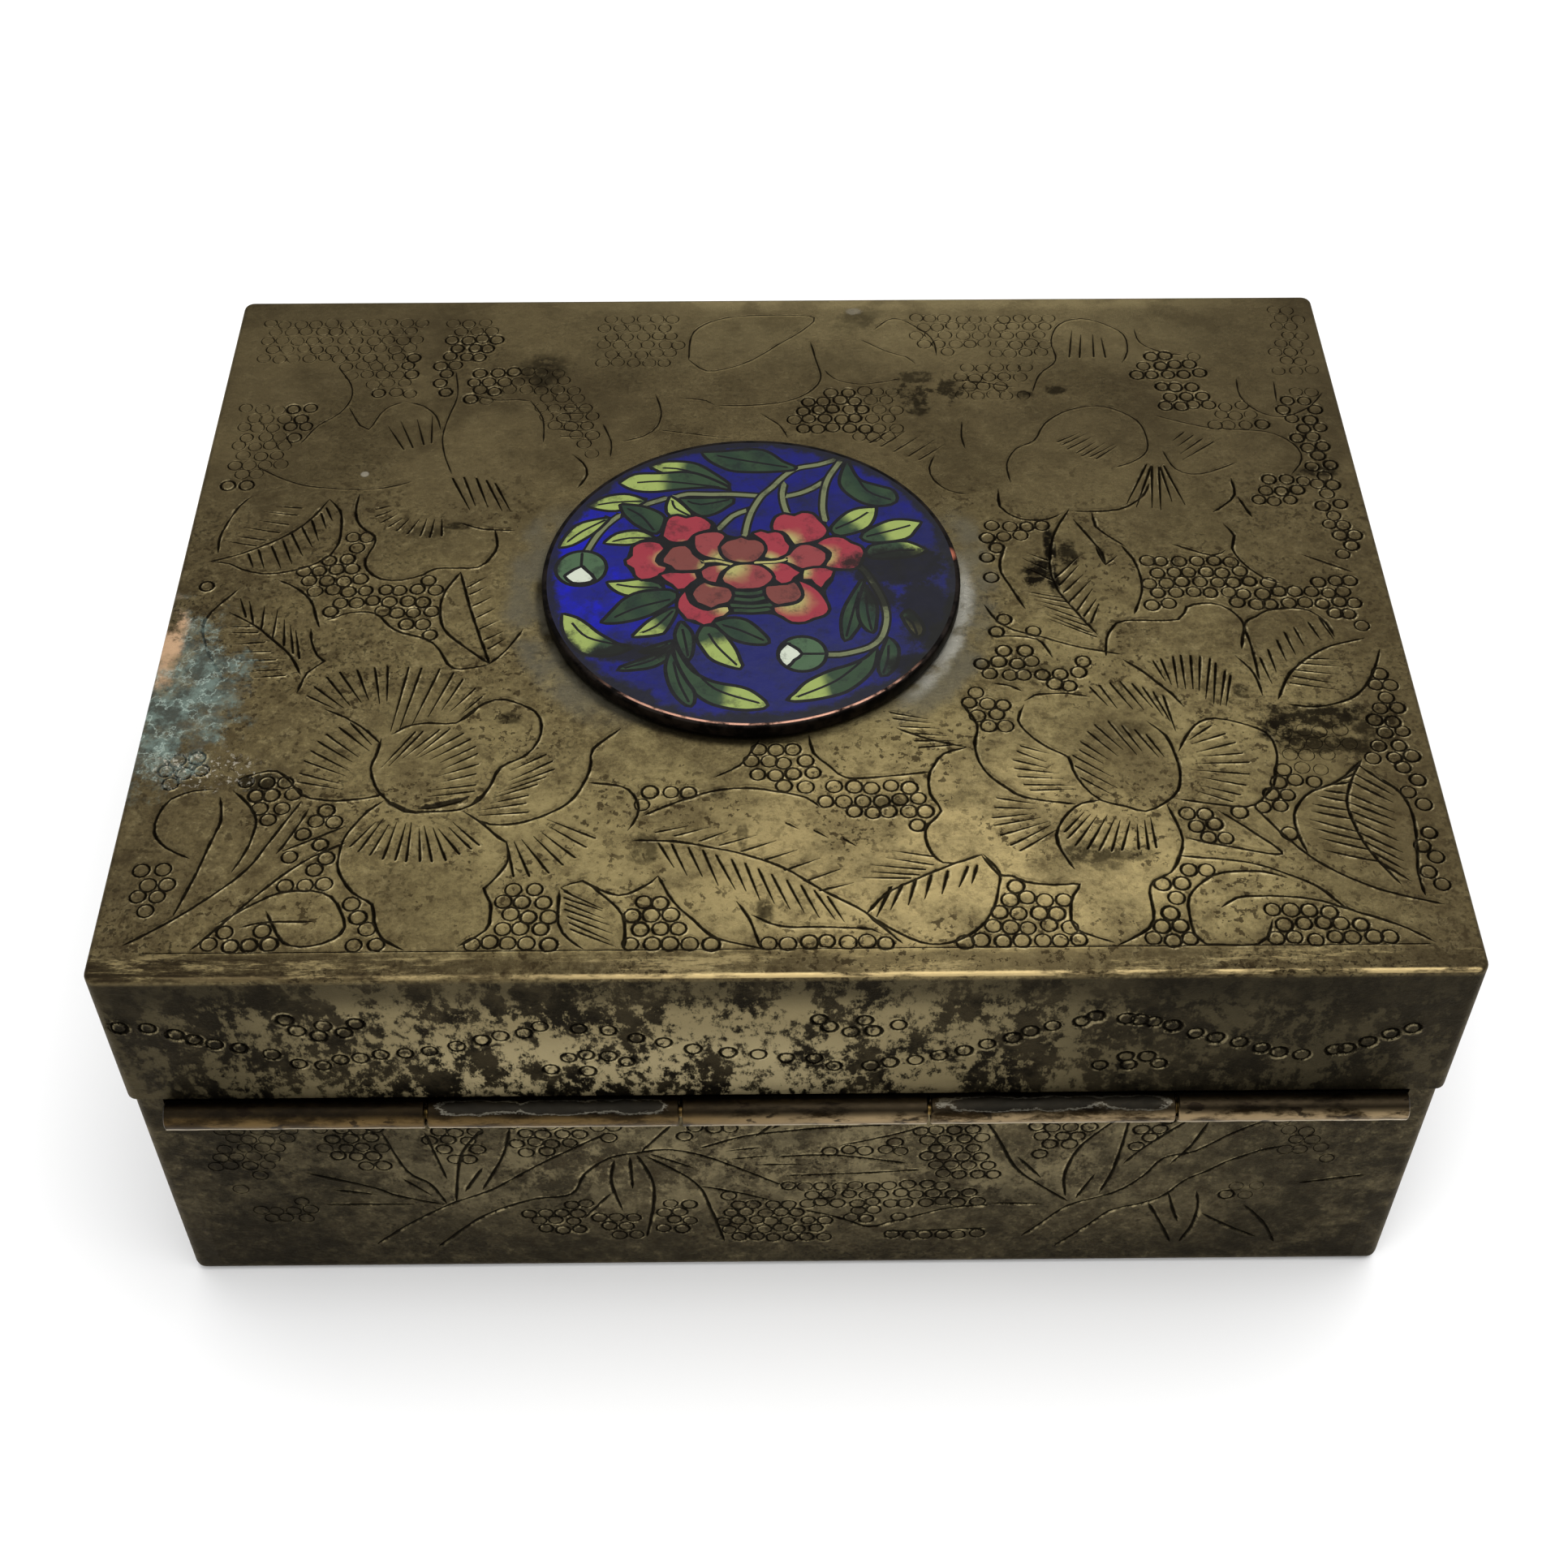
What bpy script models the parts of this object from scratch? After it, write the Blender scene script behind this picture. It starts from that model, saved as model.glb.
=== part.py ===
"""A brass cigarette box: a hinged lid chased with peonies, with a round enamel medallion on top.

Metres, +Z up. The origin is the centre of the underside. The hinge runs along the -Y side.
"""
import math

import bmesh
import bpy
import numpy as np
from mathutils import Vector
from mathutils.geometry import delaunay_2d_cdt

# Driving sizes of the box, in metres
LID_LENGTH = 0.121
LID_DEPTH = 0.096
BOX_HEIGHT = 0.0495
LID_HEIGHT = 0.0181
LID_OVERHANG = 0.0004
WALL = 0.00095
LID_TOP_THICKNESS = 0.0011
FLOOR_THICKNESS = 0.0010
TOUCH_GAP = 0.0003
CORNER_RADIUS = 0.0014
LEAST_CORNER_RADIUS = 0.00015
LID_EDGE_RADIUS = 0.0007
BASE_EDGE_RADIUS = 0.0012
CORNER_STEPS = 4
EDGE_STEPS = 3

# Hinge: five soldered tubes on one wire, with the tubes' own lengths as shares of the hinge
HINGE_INSET = 0.0035
TUBE_RADIUS = 0.0014
TUBE_STAND_OFF = 0.0010
PIN_RADIUS = 0.0006
KNUCKLE_GAP = 0.0003
KNUCKLE_SHARES = (0.210, 0.204, 0.200, 0.199, 0.187)
ROUND_STEPS = 20

# Medallion: a copper dish filled with enamel, a little left of the lid's middle
MEDALLION_RADIUS = 0.02075
MEDALLION_HEIGHT = 0.0015
MEDALLION_X = -0.0031
MEDALLION_Y = 0.0003
DISH_RIM = 0.0005
DISH_DEPTH = 0.0007
ENAMEL_CROWN = 0.00025
MEDALLION_STEPS = 56

# Chased lines: V grooves, laid out on a drawing that is spread over the face it decorates
GROOVE_WIDTH = 0.00045
GROOVE_DEPTH = 0.00018
DRAWING_LENGTH = 121.0
DRAWING_DEPTH = 96.0
DRAWING_HEIGHT = 31.4
LID_BORDER = 0.0030
WALL_BORDER = 0.0035

# Shapes of the drawn petals and leaves, as shares of their own size
PETAL_FOOT = 0.35
PETAL_FULLNESS = 0.45
PETAL_NOTCH = 0.05
LEAF_BELLY = 0.8
VEIN_REACH = 0.62
VEIN_SLANT = 0.6

# Sizes that follow from those above
TOUCH = TOUCH_GAP / 2
JOINT_Z = BOX_HEIGHT - LID_HEIGHT
BASE_RIM_Z = JOINT_Z - TOUCH
LID_RIM_Z = JOINT_Z + TOUCH
BASE_LENGTH = LID_LENGTH - 2 * LID_OVERHANG
BASE_DEPTH = LID_DEPTH - 2 * LID_OVERHANG
HINGE_LENGTH = LID_LENGTH - 2 * HINGE_INSET
HINGE_Y = -BASE_DEPTH / 2 - TUBE_STAND_OFF
HINGE_Z = LID_RIM_Z - TOUCH_GAP - TUBE_RADIUS
BORE_RADIUS = PIN_RADIUS + TOUCH_GAP
MEDALLION_Z = BOX_HEIGHT + TOUCH_GAP


def clear_scene():
    """Remove whatever the file opened with."""
    for item in list(bpy.data.objects):
        bpy.data.objects.remove(item, do_unlink=True)


def material(name, colour, roughness, metallic):
    """One Principled material."""
    made = bpy.data.materials.new(name)
    made.use_nodes = True
    shader = made.node_tree.nodes["Principled BSDF"]
    shader.inputs["Base Color"].default_value = (*colour, 1.0)
    shader.inputs["Roughness"].default_value = roughness
    shader.inputs["Metallic"].default_value = metallic
    return made


def finish(name, bm, finish_material, place=(0.0, 0.0, 0.0)):
    """Close a bmesh into a named object whose origin is at place."""
    bmesh.ops.remove_doubles(bm, verts=bm.verts, dist=1e-7)
    bmesh.ops.recalc_face_normals(bm, faces=bm.faces)
    bmesh.ops.translate(bm, verts=bm.verts, vec=-Vector(place))
    mesh = bpy.data.meshes.new(name)
    bm.to_mesh(mesh)
    bm.free()
    mesh.materials.append(finish_material)
    made = bpy.data.objects.new(name, mesh)
    made.location = place
    bpy.context.scene.collection.objects.link(made)
    return made


# Strokes of the chased drawing, each a list of (x, y) in drawing units

def smooth(points, steps=3):
    """Points along a Catmull-Rom curve through the given ones."""
    ends = [points[0], *points, points[-1]]
    curve = []
    for before, start, stop, after in zip(ends, ends[1:], ends[2:], ends[3:]):
        for step in range(steps):
            t = step / steps
            curve.append(tuple(
                0.5 * (2 * b + (c - a) * t + (2 * a - 5 * b + 4 * c - d) * t ** 2
                       + (3 * b - a - 3 * c + d) * t ** 3)
                for a, b, c, d in zip(before, start, stop, after)))
    return [*curve, tuple(points[-1])]


def petal(x, y, angle, reach, spread, lobes=3):
    """A petal's edge: out from the heart, round a lobed rim and back, as polar steps."""
    points = []
    for step in range(10):
        t = step / 9
        swell = math.sin(math.pi * t) ** PETAL_FULLNESS
        lobed = 1 - PETAL_NOTCH * abs(math.sin(lobes * math.pi * t))
        radius = reach * (PETAL_FOOT + (1 - PETAL_FOOT) * swell) * lobed
        turn = math.radians(angle + spread * (2 * t - 1))
        points.append((x + radius * math.cos(turn), y + radius * math.sin(turn)))
    return points


def heart(x, y, radius):
    """The round front petal that closes over the middle of a peony, open at its top."""
    points = []
    for step in range(12):
        turn = math.radians(125 + 290 * step / 11)
        points.append((x + radius * math.cos(turn), y + 0.95 * radius * math.sin(turn)))
    return points


def peony(x, y, radius, petals):
    """Front petal and the petals behind it, each as (angle, reach, spread)."""
    return [heart(x, y, radius), *(petal(x, y, *row) for row in petals)]


def leaf(base, tip, width, ribs=0):
    """A pointed leaf: two bowed sides, the midrib and a few side veins."""
    base, tip = Vector(base), Vector(tip)
    run = tip - base
    side = Vector((-run.y, run.x)).normalized()
    strokes = [[tuple(base), tuple(base.lerp(tip, 0.5)), tuple(tip)]]
    for hand in (-1, 1):
        edge = []
        for step in range(6):
            t = step / 5
            bow = hand * width * math.sin(math.pi * t ** LEAF_BELLY)
            edge.append(tuple(base.lerp(tip, t) + side * bow))
        strokes.append(edge)
        for rib in range(ribs):
            t = (rib + 1) / (ribs + 1)
            start = base.lerp(tip, t)
            reach = width * VEIN_REACH * math.sin(math.pi * t)
            slant = run.normalized() * reach * VEIN_SLANT
            strokes.append([tuple(start + side * hand * 0.8), tuple(start + side * hand * reach + slant)])
    return strokes


def fan(x, y, angle, spread, near, far, count):
    """Straight hatch strokes that open like a fan from a petal's foot."""
    strokes = []
    for step in range(count):
        turn = math.radians(angle + spread * (2 * step / (count - 1) - 1))
        way = Vector((math.cos(turn), math.sin(turn)))
        strokes.append([tuple(Vector((x, y)) + way * near), tuple(Vector((x, y)) + way * far)])
    return strokes


def lid_strokes():
    """Four peonies, the leaves between them and the stems that rise from the near corners."""
    strokes = [
        *peony(-33.5, -23.4, 5.3, ((35, 12, 30), (-8, 15.5, 26), (-88, 21, 24),
                                   (165, 13.5, 34), (108, 19.5, 30), (72, 9.5, 26))),
        *peony(31.6, -23.0, 5.6, ((168, 15, 24), (-148, 19, 18), (-98, 20, 26),
                                  (-4, 13.8, 34), (62, 19.5, 26), (112, 11, 28))),
        *peony(-37.0, 17.0, 5.2, ((-62, 15.5, 36), (-160, 8.5, 34), (150, 16, 30),
                                  (90, 14, 34), (28, 17, 32))),
        *peony(34.0, 20.5, 5.4, ((-75, 14.5, 38), (-160, 14, 30), (8, 20.5, 26),
                                 (60, 12.5, 28), (95, 15.5, 22), (150, 13.5, 28))),
        *leaf((-57.0, 5.0), (-46.8, 14.6), 4.6, 3),
        *leaf((-46.3, -11.5), (-54.5, -0.5), 4.4, 3),
        *leaf((-53.8, -41.5), (-52.2, -26.0), 3.2, 2),
        *leaf((9.5, -43.8), (-13.5, -32.5), 5.6, 4),
        *leaf((7.0, -41.2), (17.5, -34.6), 3.4, 2),
        *leaf((-17.0, -44.6), (-19.0, -37.6), 2.6, 1),
        *leaf((54.4, -38.6), (51.4, -23.6), 4.6, 3),
        *leaf((46.4, -16.4), (56.6, -7.6), 4.4, 2),
        *leaf((31.0, -7.2), (27.6, 9.2), 4.4, 3),
        *leaf((-29.0, -10.6), (-28.4, 4.0), 3.0, 2),
        *leaf((17.0, -21.4), (3.5, -24.4), 2.6, 1),
        *leaf((16.4, 26.0), (25.0, 33.0), 2.8, 1),
        *leaf((-15.0, 24.6), (-24.0, 34.0), 3.4, 2),
        *leaf((-10.0, 35.0), (5.0, 44.0), 4.0, 2),
        *fan(-34.0, -21.5, 55, 50, 3.0, 6.0, 5),
        *fan(-32.6, -27.0, -88, 42, 4.0, 8.4, 7),
        *fan(-36.5, -23.5, 168, 30, 4.0, 8.4, 5),
        *fan(31.6, -22.5, 128, 34, 3.0, 7.6, 5),
        *fan(30.0, -27.0, -94, 30, 3.4, 7.4, 6),
        *fan(36.0, -24.0, 0, 38, 2.6, 6.8, 6),
        *fan(26.0, -25.6, 172, 18, 3.0, 6.6, 4),
        *fan(-36.0, 13.0, -100, 60, 3.4, 6.4, 6),
        *fan(37.0, 19.0, -90, 30, 3.0, 7.6, 5),
        *fan(37.5, -16.0, 96, 20, 2.6, 7.0, 4),
    ]
    for hand in (-1, 1):
        corner = hand * 57.0
        strokes.append(smooth([(corner, -43.6), (hand * 50.0, -37.8), (hand * 44.4, -28.4)]))
        strokes.append(smooth([(hand * 52.0, -44.4), (hand * 46.0, -38.0), (hand * 40.4, -33.4)]))
    half_x = DRAWING_LENGTH / 2
    half_y = DRAWING_DEPTH / 2
    edge_x = half_x * (1 - 2 * LID_BORDER / LID_LENGTH)
    edge_y = half_y * (1 - 2 * LID_BORDER / LID_DEPTH)
    for hand in (-1, 1):
        strokes.append([(-edge_x, hand * edge_y), (edge_x, hand * edge_y)])
        strokes.append([(hand * edge_x, -edge_y), (hand * edge_x, edge_y)])
    return strokes


def blade(x, y, angle, length, width):
    """A long pointed bamboo leaf as two sides from its foot to its tip."""
    way = Vector((math.cos(math.radians(angle)), math.sin(math.radians(angle))))
    side = Vector((-way.y, way.x))
    strokes = []
    for hand in (-1, 1):
        strokes.append([
            tuple(Vector((x, y)) + way * length * t + side * hand * width * math.sin(math.pi * t ** 0.7))
            for t in (0, 0.25, 0.6, 1)])
    return strokes


def spray(x, y, blades, width=1.5):
    """Leaves that spread from one joint of a bamboo stem, each as (angle, length)."""
    strokes = []
    for angle, length in blades:
        strokes.extend(blade(x, y, angle, length, width))
    return strokes


def hinge_side_strokes():
    """Two crossing bamboo stems and four sprays, below the hinge."""
    return [
        smooth([(-41.0, 5.0), (-33.0, 12.3), (-26.0, 16.6), (-19.0, 23.0)]),
        smooth([(-35.0, 4.4), (-28.0, 11.2), (-21.2, 14.2), (-18.4, 19.0), (-14.3, 21.2)]),
        smooth([(-14.3, 21.2), (-8.0, 20.8), (-0.6, 15.4)]),
        smooth([(23.6, 5.4), (27.7, 11.2), (32.6, 14.0), (37.0, 20.0), (42.0, 23.6)]),
        smooth([(27.2, 3.8), (32.0, 9.8), (37.2, 13.2), (40.6, 17.4), (47.0, 21.6)]),
        *spray(-33.0, 12.3, ((74, 11.5), (106, 11.5), (153, 13), (181, 12))),
        *spray(-14.3, 20.6, ((-97, 10.5), (-84, 14.5), (-60, 15.5), (-128, 12))),
        *spray(-6.0, 19.6, ((12, 18), (-7, 19))),
        *spray(27.7, 11.6, ((118, 12), (86, 12), (163, 9), (62, 11))),
        *spray(38.2, 13.6, ((-76, 9), (-58, 12), (-38, 12), (8, 13))),
    ]


def plain_side_strokes(half):
    """A plainer run of bamboo for the sides that face away: one stem and a few sprays."""
    reach = half - 10
    count = 3 if half > 55 else 2
    strokes = []
    for place in range(count):
        x = reach * (2 * (place + 0.5) / count - 1)
        strokes.append(smooth([(x - 9, 5.6), (x, 13.0), (x + 9, 20.6)]))
        strokes.extend(spray(x, 13.0, ((78, 11), (108, 12), (168, 10), (-52, 9), (14, 12))))
    return strokes


# Faces and shells

def offset_points(points, widths):
    """Points moved sideways along the averaged normal of a stroke."""
    moved = []
    for index, point in enumerate(points):
        before = points[max(index - 1, 0)]
        after = points[min(index + 1, len(points) - 1)]
        way = (after - before) / max(np.linalg.norm(after - before), 1e-9)
        moved.append(point + np.array((-way[1], way[0])) * widths[index])
    return moved


def groove_depth(places, strokes):
    """Depth below the face at each place: a V along each stroke that runs out at its ends."""
    depth = np.zeros(len(places))
    for points in strokes:
        for start, stop, first, last in zip(points, points[1:], (True, *[False] * len(points)),
                                            (*[False] * (len(points) - 2), True)):
            run = stop - start
            t = np.clip((places - start) @ run / max(run @ run, 1e-12), 0, 1)
            gap = np.linalg.norm(places - (start + t[:, None] * run), axis=1)
            strength = np.ones(len(places))
            if first:
                strength = np.minimum(strength, t * (2 if last else 1) + 1e-3)
            if last:
                strength = np.minimum(strength, (1 - t) * (2 if first else 1) + 1e-3)
            half = GROOVE_WIDTH / 2 * strength
            depth = np.maximum(depth, GROOVE_DEPTH * strength * np.clip(1 - gap / half, 0, 1))
    return depth


def chased_face(bm, outline, strokes, scale, margin, origin, along, up):
    """A flat face with the strokes cut into it. The outline is (u, v) in metres, the strokes
    are in drawing units, and the face lies at origin, spanned by the two directions."""
    low = np.array((min(u for u, v in outline), min(v for u, v in outline))) + margin
    high = np.array((max(u for u, v in outline), max(v for u, v in outline))) - margin
    lines = []
    for stroke in strokes:
        points = [np.clip(np.array(point) * scale, low, high) for point in stroke]
        kept = [points[0]]
        for point in points[1:]:
            if np.linalg.norm(point - kept[-1]) > GROOVE_WIDTH:
                kept.append(point)
        if len(kept) == 2:
            kept.insert(1, (kept[0] + kept[1]) / 2)
        if len(kept) > 2:
            lines.append(kept)
    places = [np.array(corner) for corner in outline]
    edges = [(index, (index + 1) % len(outline)) for index in range(len(outline))]
    for points in lines:
        half = [0.0] + [GROOVE_WIDTH / 2] * (len(points) - 2) + [0.0]
        for hand in (-1, 0, 1):
            first = len(places)
            places.extend(offset_points(points, [hand * width for width in half]))
            edges.extend((index, index + 1) for index in range(first, len(places) - 1))
    millimetre = 1000.0
    flat, _, triangles, *_ = delaunay_2d_cdt(
        [Vector(place * millimetre) for place in places], edges, [], 1, 1e-3)
    flat = np.array([tuple(place) for place in flat]) / millimetre
    depth = groove_depth(flat, lines)
    inward = -Vector(along).cross(Vector(up))
    made = []
    for (u, v), sunk in zip(flat, depth):
        made.append(bm.verts.new(
            Vector(origin) + Vector(along) * u + Vector(up) * v + inward * sunk))
    for triangle in triangles:
        bm.faces.new([made[index] for index in triangle])


def ring_points(length, depth, radius):
    """A rounded rectangle, counter-clockwise, starting at the +X side's near end."""
    points = []
    for quarter, (sx, sy) in enumerate(((1, -1), (1, 1), (-1, 1), (-1, -1))):
        centre = (sx * (length / 2 - radius), sy * (depth / 2 - radius))
        for step in range(CORNER_STEPS + 1):
            turn = math.radians(90 * (quarter - 1 + step / CORNER_STEPS))
            points.append((centre[0] + radius * math.cos(turn), centre[1] + radius * math.sin(turn)))
    return points


def level(bm, length, depth, inset, z):
    """One loop of vertices of a box shell, set in from its outer faces."""
    radius = max(CORNER_RADIUS - inset, LEAST_CORNER_RADIUS)
    return [bm.verts.new((x, y, z))
            for x, y in ring_points(length - 2 * inset, depth - 2 * inset, radius)]


def join_levels(bm, lower, upper, flats=True):
    """Quads between two loops, with or without the four long flats."""
    count = len(lower)
    for index in range(count):
        following = (index + 1) % count
        if not flats and index % (CORNER_STEPS + 1) == CORNER_STEPS:
            continue
        bm.faces.new((lower[index], lower[following], upper[following], upper[index]))


def edge_levels(bm, length, depth, radius, z, rising):
    """Loops of a rounded edge between a wall and the flat face at z, from the wall inward."""
    loops = []
    for step in range(EDGE_STEPS + 1):
        turn = math.radians(90 * step / EDGE_STEPS)
        inset = radius * (1 - math.cos(turn))
        height = radius * (1 - math.sin(turn))
        loops.append(level(bm, length, depth, inset, z - height if rising else z + height))
    return loops


def cut_by(target, cutter):
    """A Boolean difference, with the cutter kept as a guide that doesn't render."""
    cutter.hide_render = True
    cutter.display_type = "WIRE"
    cut = target.modifiers.new("cut", "BOOLEAN")
    cut.operation = "DIFFERENCE"
    cut.solver = "EXACT"
    cut.object = cutter


def block(name, low, high, block_material):
    """A plain box from two corners."""
    bm = bmesh.new()
    bmesh.ops.create_cube(bm, size=1.0)
    for vert in bm.verts:
        vert.co = Vector(tuple((a + b) / 2 + side * (b - a)
                               for a, b, side in zip(low, high, vert.co)))
    return finish(name, bm, block_material)


def base_box(brass):
    """The lower box: thin walls, a floor, rounded lower edges and bamboo on its sides.
    The wall's rim is cut down along the hinge, where the tubes are let in."""
    bm = bmesh.new()
    edges = edge_levels(bm, BASE_LENGTH, BASE_DEPTH, BASE_EDGE_RADIUS, 0.0, rising=False)
    for upper, lower in zip(edges, edges[1:]):
        join_levels(bm, lower, upper)
    bm.faces.new(edges[-1])
    rim = level(bm, BASE_LENGTH, BASE_DEPTH, 0.0, BASE_RIM_Z)
    join_levels(bm, edges[0], rim, flats=False)
    inner_rim = level(bm, BASE_LENGTH, BASE_DEPTH, WALL, BASE_RIM_Z)
    inner_floor = level(bm, BASE_LENGTH, BASE_DEPTH, WALL, FLOOR_THICKNESS)
    join_levels(bm, rim, inner_rim)
    join_levels(bm, inner_rim, inner_floor)
    bm.faces.new(inner_floor)
    sides = (
        ((0, -BASE_DEPTH / 2, 0), (1, 0, 0), BASE_LENGTH, LID_LENGTH, DRAWING_LENGTH,
         hinge_side_strokes(), BASE_RIM_Z - HINGE_Z + TUBE_RADIUS + TOUCH_GAP),
        ((0, BASE_DEPTH / 2, 0), (-1, 0, 0), BASE_LENGTH, LID_LENGTH, DRAWING_LENGTH,
         plain_side_strokes(DRAWING_LENGTH / 2), WALL_BORDER),
        ((BASE_LENGTH / 2, 0, 0), (0, 1, 0), BASE_DEPTH, LID_DEPTH, DRAWING_DEPTH,
         plain_side_strokes(DRAWING_DEPTH / 2), WALL_BORDER),
        ((-BASE_LENGTH / 2, 0, 0), (0, -1, 0), BASE_DEPTH, LID_DEPTH, DRAWING_DEPTH,
         plain_side_strokes(DRAWING_DEPTH / 2), WALL_BORDER),
    )
    for origin, along, run, lid_run, drawn_run, strokes, top_margin in sides:
        half = run / 2 - CORNER_RADIUS
        outline = [(-half, BASE_EDGE_RADIUS), (half, BASE_EDGE_RADIUS),
                   (half, BASE_RIM_Z), (-half, BASE_RIM_Z)]
        scale = np.array((lid_run / drawn_run, JOINT_Z / DRAWING_HEIGHT))
        margin = np.array((WALL_BORDER - CORNER_RADIUS, max(WALL_BORDER, top_margin)))
        chased_face(bm, outline, strokes, scale, margin, origin, along, (0, 0, 1))
    made = finish("base_box", bm, brass)
    notch = block("hinge_notch_cutter",
                  (-HINGE_LENGTH / 2 - TOUCH_GAP, -BASE_DEPTH / 2 - WALL,
                   HINGE_Z - math.sqrt((TUBE_RADIUS + TOUCH_GAP) ** 2 - TUBE_STAND_OFF ** 2)),
                  (HINGE_LENGTH / 2 + TOUCH_GAP, -BASE_DEPTH / 2 + 2 * WALL, BASE_RIM_Z + WALL),
                  brass)
    cut_by(made, notch)
    return made


def lid(brass):
    """The upper box, open below, with its chased top. It turns on the hinge's axis."""
    bm = bmesh.new()
    rim = level(bm, LID_LENGTH, LID_DEPTH, 0.0, LID_RIM_Z)
    edges = edge_levels(bm, LID_LENGTH, LID_DEPTH, LID_EDGE_RADIUS, BOX_HEIGHT, rising=True)
    join_levels(bm, rim, edges[0])
    for lower, upper in zip(edges, edges[1:]):
        join_levels(bm, lower, upper)
    inner_rim = level(bm, LID_LENGTH, LID_DEPTH, WALL, LID_RIM_Z)
    inner_top = level(bm, LID_LENGTH, LID_DEPTH, WALL, BOX_HEIGHT - LID_TOP_THICKNESS)
    join_levels(bm, rim, inner_rim)
    join_levels(bm, inner_rim, inner_top)
    bm.faces.new(inner_top)
    outline = [tuple(vert.co.xy) for vert in edges[-1]]
    scale = np.array((LID_LENGTH / DRAWING_LENGTH, LID_DEPTH / DRAWING_DEPTH))
    margin = LID_BORDER - LID_EDGE_RADIUS
    chased_face(bm, outline, lid_strokes(), scale, margin, (0, 0, BOX_HEIGHT), (1, 0, 0), (0, 1, 0))
    return finish("lid", bm, brass, (0, HINGE_Y, HINGE_Z))


def turned(name, profile, steps, turned_material, axis, centre, place):
    """A solid of revolution of a closed (radius, height) profile."""
    bm = bmesh.new()
    side = Vector((0, 1, 0)) if abs(axis.y) < 0.5 else Vector((1, 0, 0))
    points = [bm.verts.new(centre + side * radius + axis * height) for radius, height in profile]
    edges = [bm.edges.new((points[index], points[(index + 1) % len(points)]))
             for index in range(len(points))]
    bmesh.ops.spin(bm, geom=[*points, *edges], cent=centre, axis=axis, dvec=(0, 0, 0),
                   angle=math.tau, steps=steps, use_merge=True)
    bmesh.ops.remove_doubles(bm, verts=bm.verts, dist=1e-6)
    loose = [edge for edge in bm.edges if not edge.link_faces]
    bmesh.ops.delete(bm, geom=loose, context="EDGES")
    made = finish(name, bm, turned_material, place)
    made.data.shade_smooth()
    made.data.set_sharp_from_angle(angle=math.radians(35))
    return made


def rod(name, radius, length, steps, rod_material, place):
    """A plain round bar along X, centred on its place."""
    bm = bmesh.new()
    bmesh.ops.create_cone(bm, cap_ends=True, cap_tris=False, segments=steps,
                          radius1=radius, radius2=radius, depth=length)
    for vert in bm.verts:
        x, y, z = vert.co
        vert.co = Vector((z, y, -x)) + Vector(place)
    made = finish(name, bm, rod_material, place)
    made.data.shade_smooth()
    made.data.set_sharp_from_angle(angle=math.radians(35))
    return made


def hinge(brass, pin_brass, lid_object):
    """Five tubes end to end on one wire. The second and fourth go with the lid."""
    place = Vector((0, HINGE_Y, HINGE_Z))
    start = -HINGE_LENGTH / 2
    for number, share in enumerate(KNUCKLE_SHARES, start=1):
        stop = start + share * HINGE_LENGTH / sum(KNUCKLE_SHARES)
        low = start + (KNUCKLE_GAP / 2 if number > 1 else 0)
        high = stop - (KNUCKLE_GAP / 2 if number < len(KNUCKLE_SHARES) else 0)
        middle = Vector(((low + high) / 2, HINGE_Y, HINGE_Z))
        half = (high - low) / 2
        profile = [(BORE_RADIUS, -half), (TUBE_RADIUS, -half), (TUBE_RADIUS, half), (BORE_RADIUS, half)]
        made = turned(f"hinge_knuckle_{number}", profile, ROUND_STEPS, brass,
                      Vector((1, 0, 0)), middle, place)
        if number % 2 == 0:
            made.parent = lid_object
            made.matrix_parent_inverse = lid_object.matrix_world.inverted()
        start = stop
    rod("hinge_pin", PIN_RADIUS, HINGE_LENGTH, ROUND_STEPS // 2, pin_brass, place)


def medallion(copper, enamel, lid_object):
    """A copper dish with a raised rim, and the enamel that fills it with a slight crown."""
    centre = Vector((MEDALLION_X, MEDALLION_Y, MEDALLION_Z))
    up = Vector((0, 0, 1))
    inner = MEDALLION_RADIUS - DISH_RIM
    floor = MEDALLION_HEIGHT - DISH_DEPTH
    bevel = DISH_RIM * 0.3
    dish = [(0, 0), (MEDALLION_RADIUS - bevel, 0), (MEDALLION_RADIUS, bevel),
            (MEDALLION_RADIUS, MEDALLION_HEIGHT - bevel),
            (MEDALLION_RADIUS - bevel, MEDALLION_HEIGHT), (inner, MEDALLION_HEIGHT),
            (inner, floor), (0, floor)]
    fill = inner - TOUCH_GAP
    bottom = floor + TOUCH_GAP
    crown = MEDALLION_HEIGHT + ENAMEL_CROWN
    pool = [(0, bottom), (fill, bottom), (fill, MEDALLION_HEIGHT),
            (fill * 0.8, crown - ENAMEL_CROWN * 0.35), (fill * 0.5, crown - ENAMEL_CROWN * 0.08),
            (0, crown)]
    for name, profile, own in (("medallion_plate", dish, copper), ("medallion_enamel", pool, enamel)):
        made = turned(name, profile, MEDALLION_STEPS, own, up, centre, centre)
        made.parent = lid_object
        made.matrix_parent_inverse = lid_object.matrix_world.inverted()


def build():
    """The whole box, lid shut."""
    clear_scene()
    brass = material("aged_brass", (0.20, 0.16, 0.075), 0.42, 1.0)
    tube_brass = material("tube_brass", (0.26, 0.18, 0.08), 0.38, 1.0)
    pin_brass = material("pin_brass", (0.30, 0.24, 0.12), 0.35, 1.0)
    copper = material("rim_copper", (0.30, 0.13, 0.09), 0.40, 1.0)
    enamel = material("blue_enamel", (0.02, 0.03, 0.45), 0.18, 0.0)
    base_box(brass)
    lid_object = lid(brass)
    bpy.context.view_layer.update()
    hinge(tube_brass, pin_brass, lid_object)
    medallion(copper, enamel, lid_object)


build()
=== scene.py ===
"""The looks of a chased brass cigarette box with an enamel medallion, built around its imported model.

The drawings are in millimetres on the face they decorate; everything else is in metres.
"""
import math
import random

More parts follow.
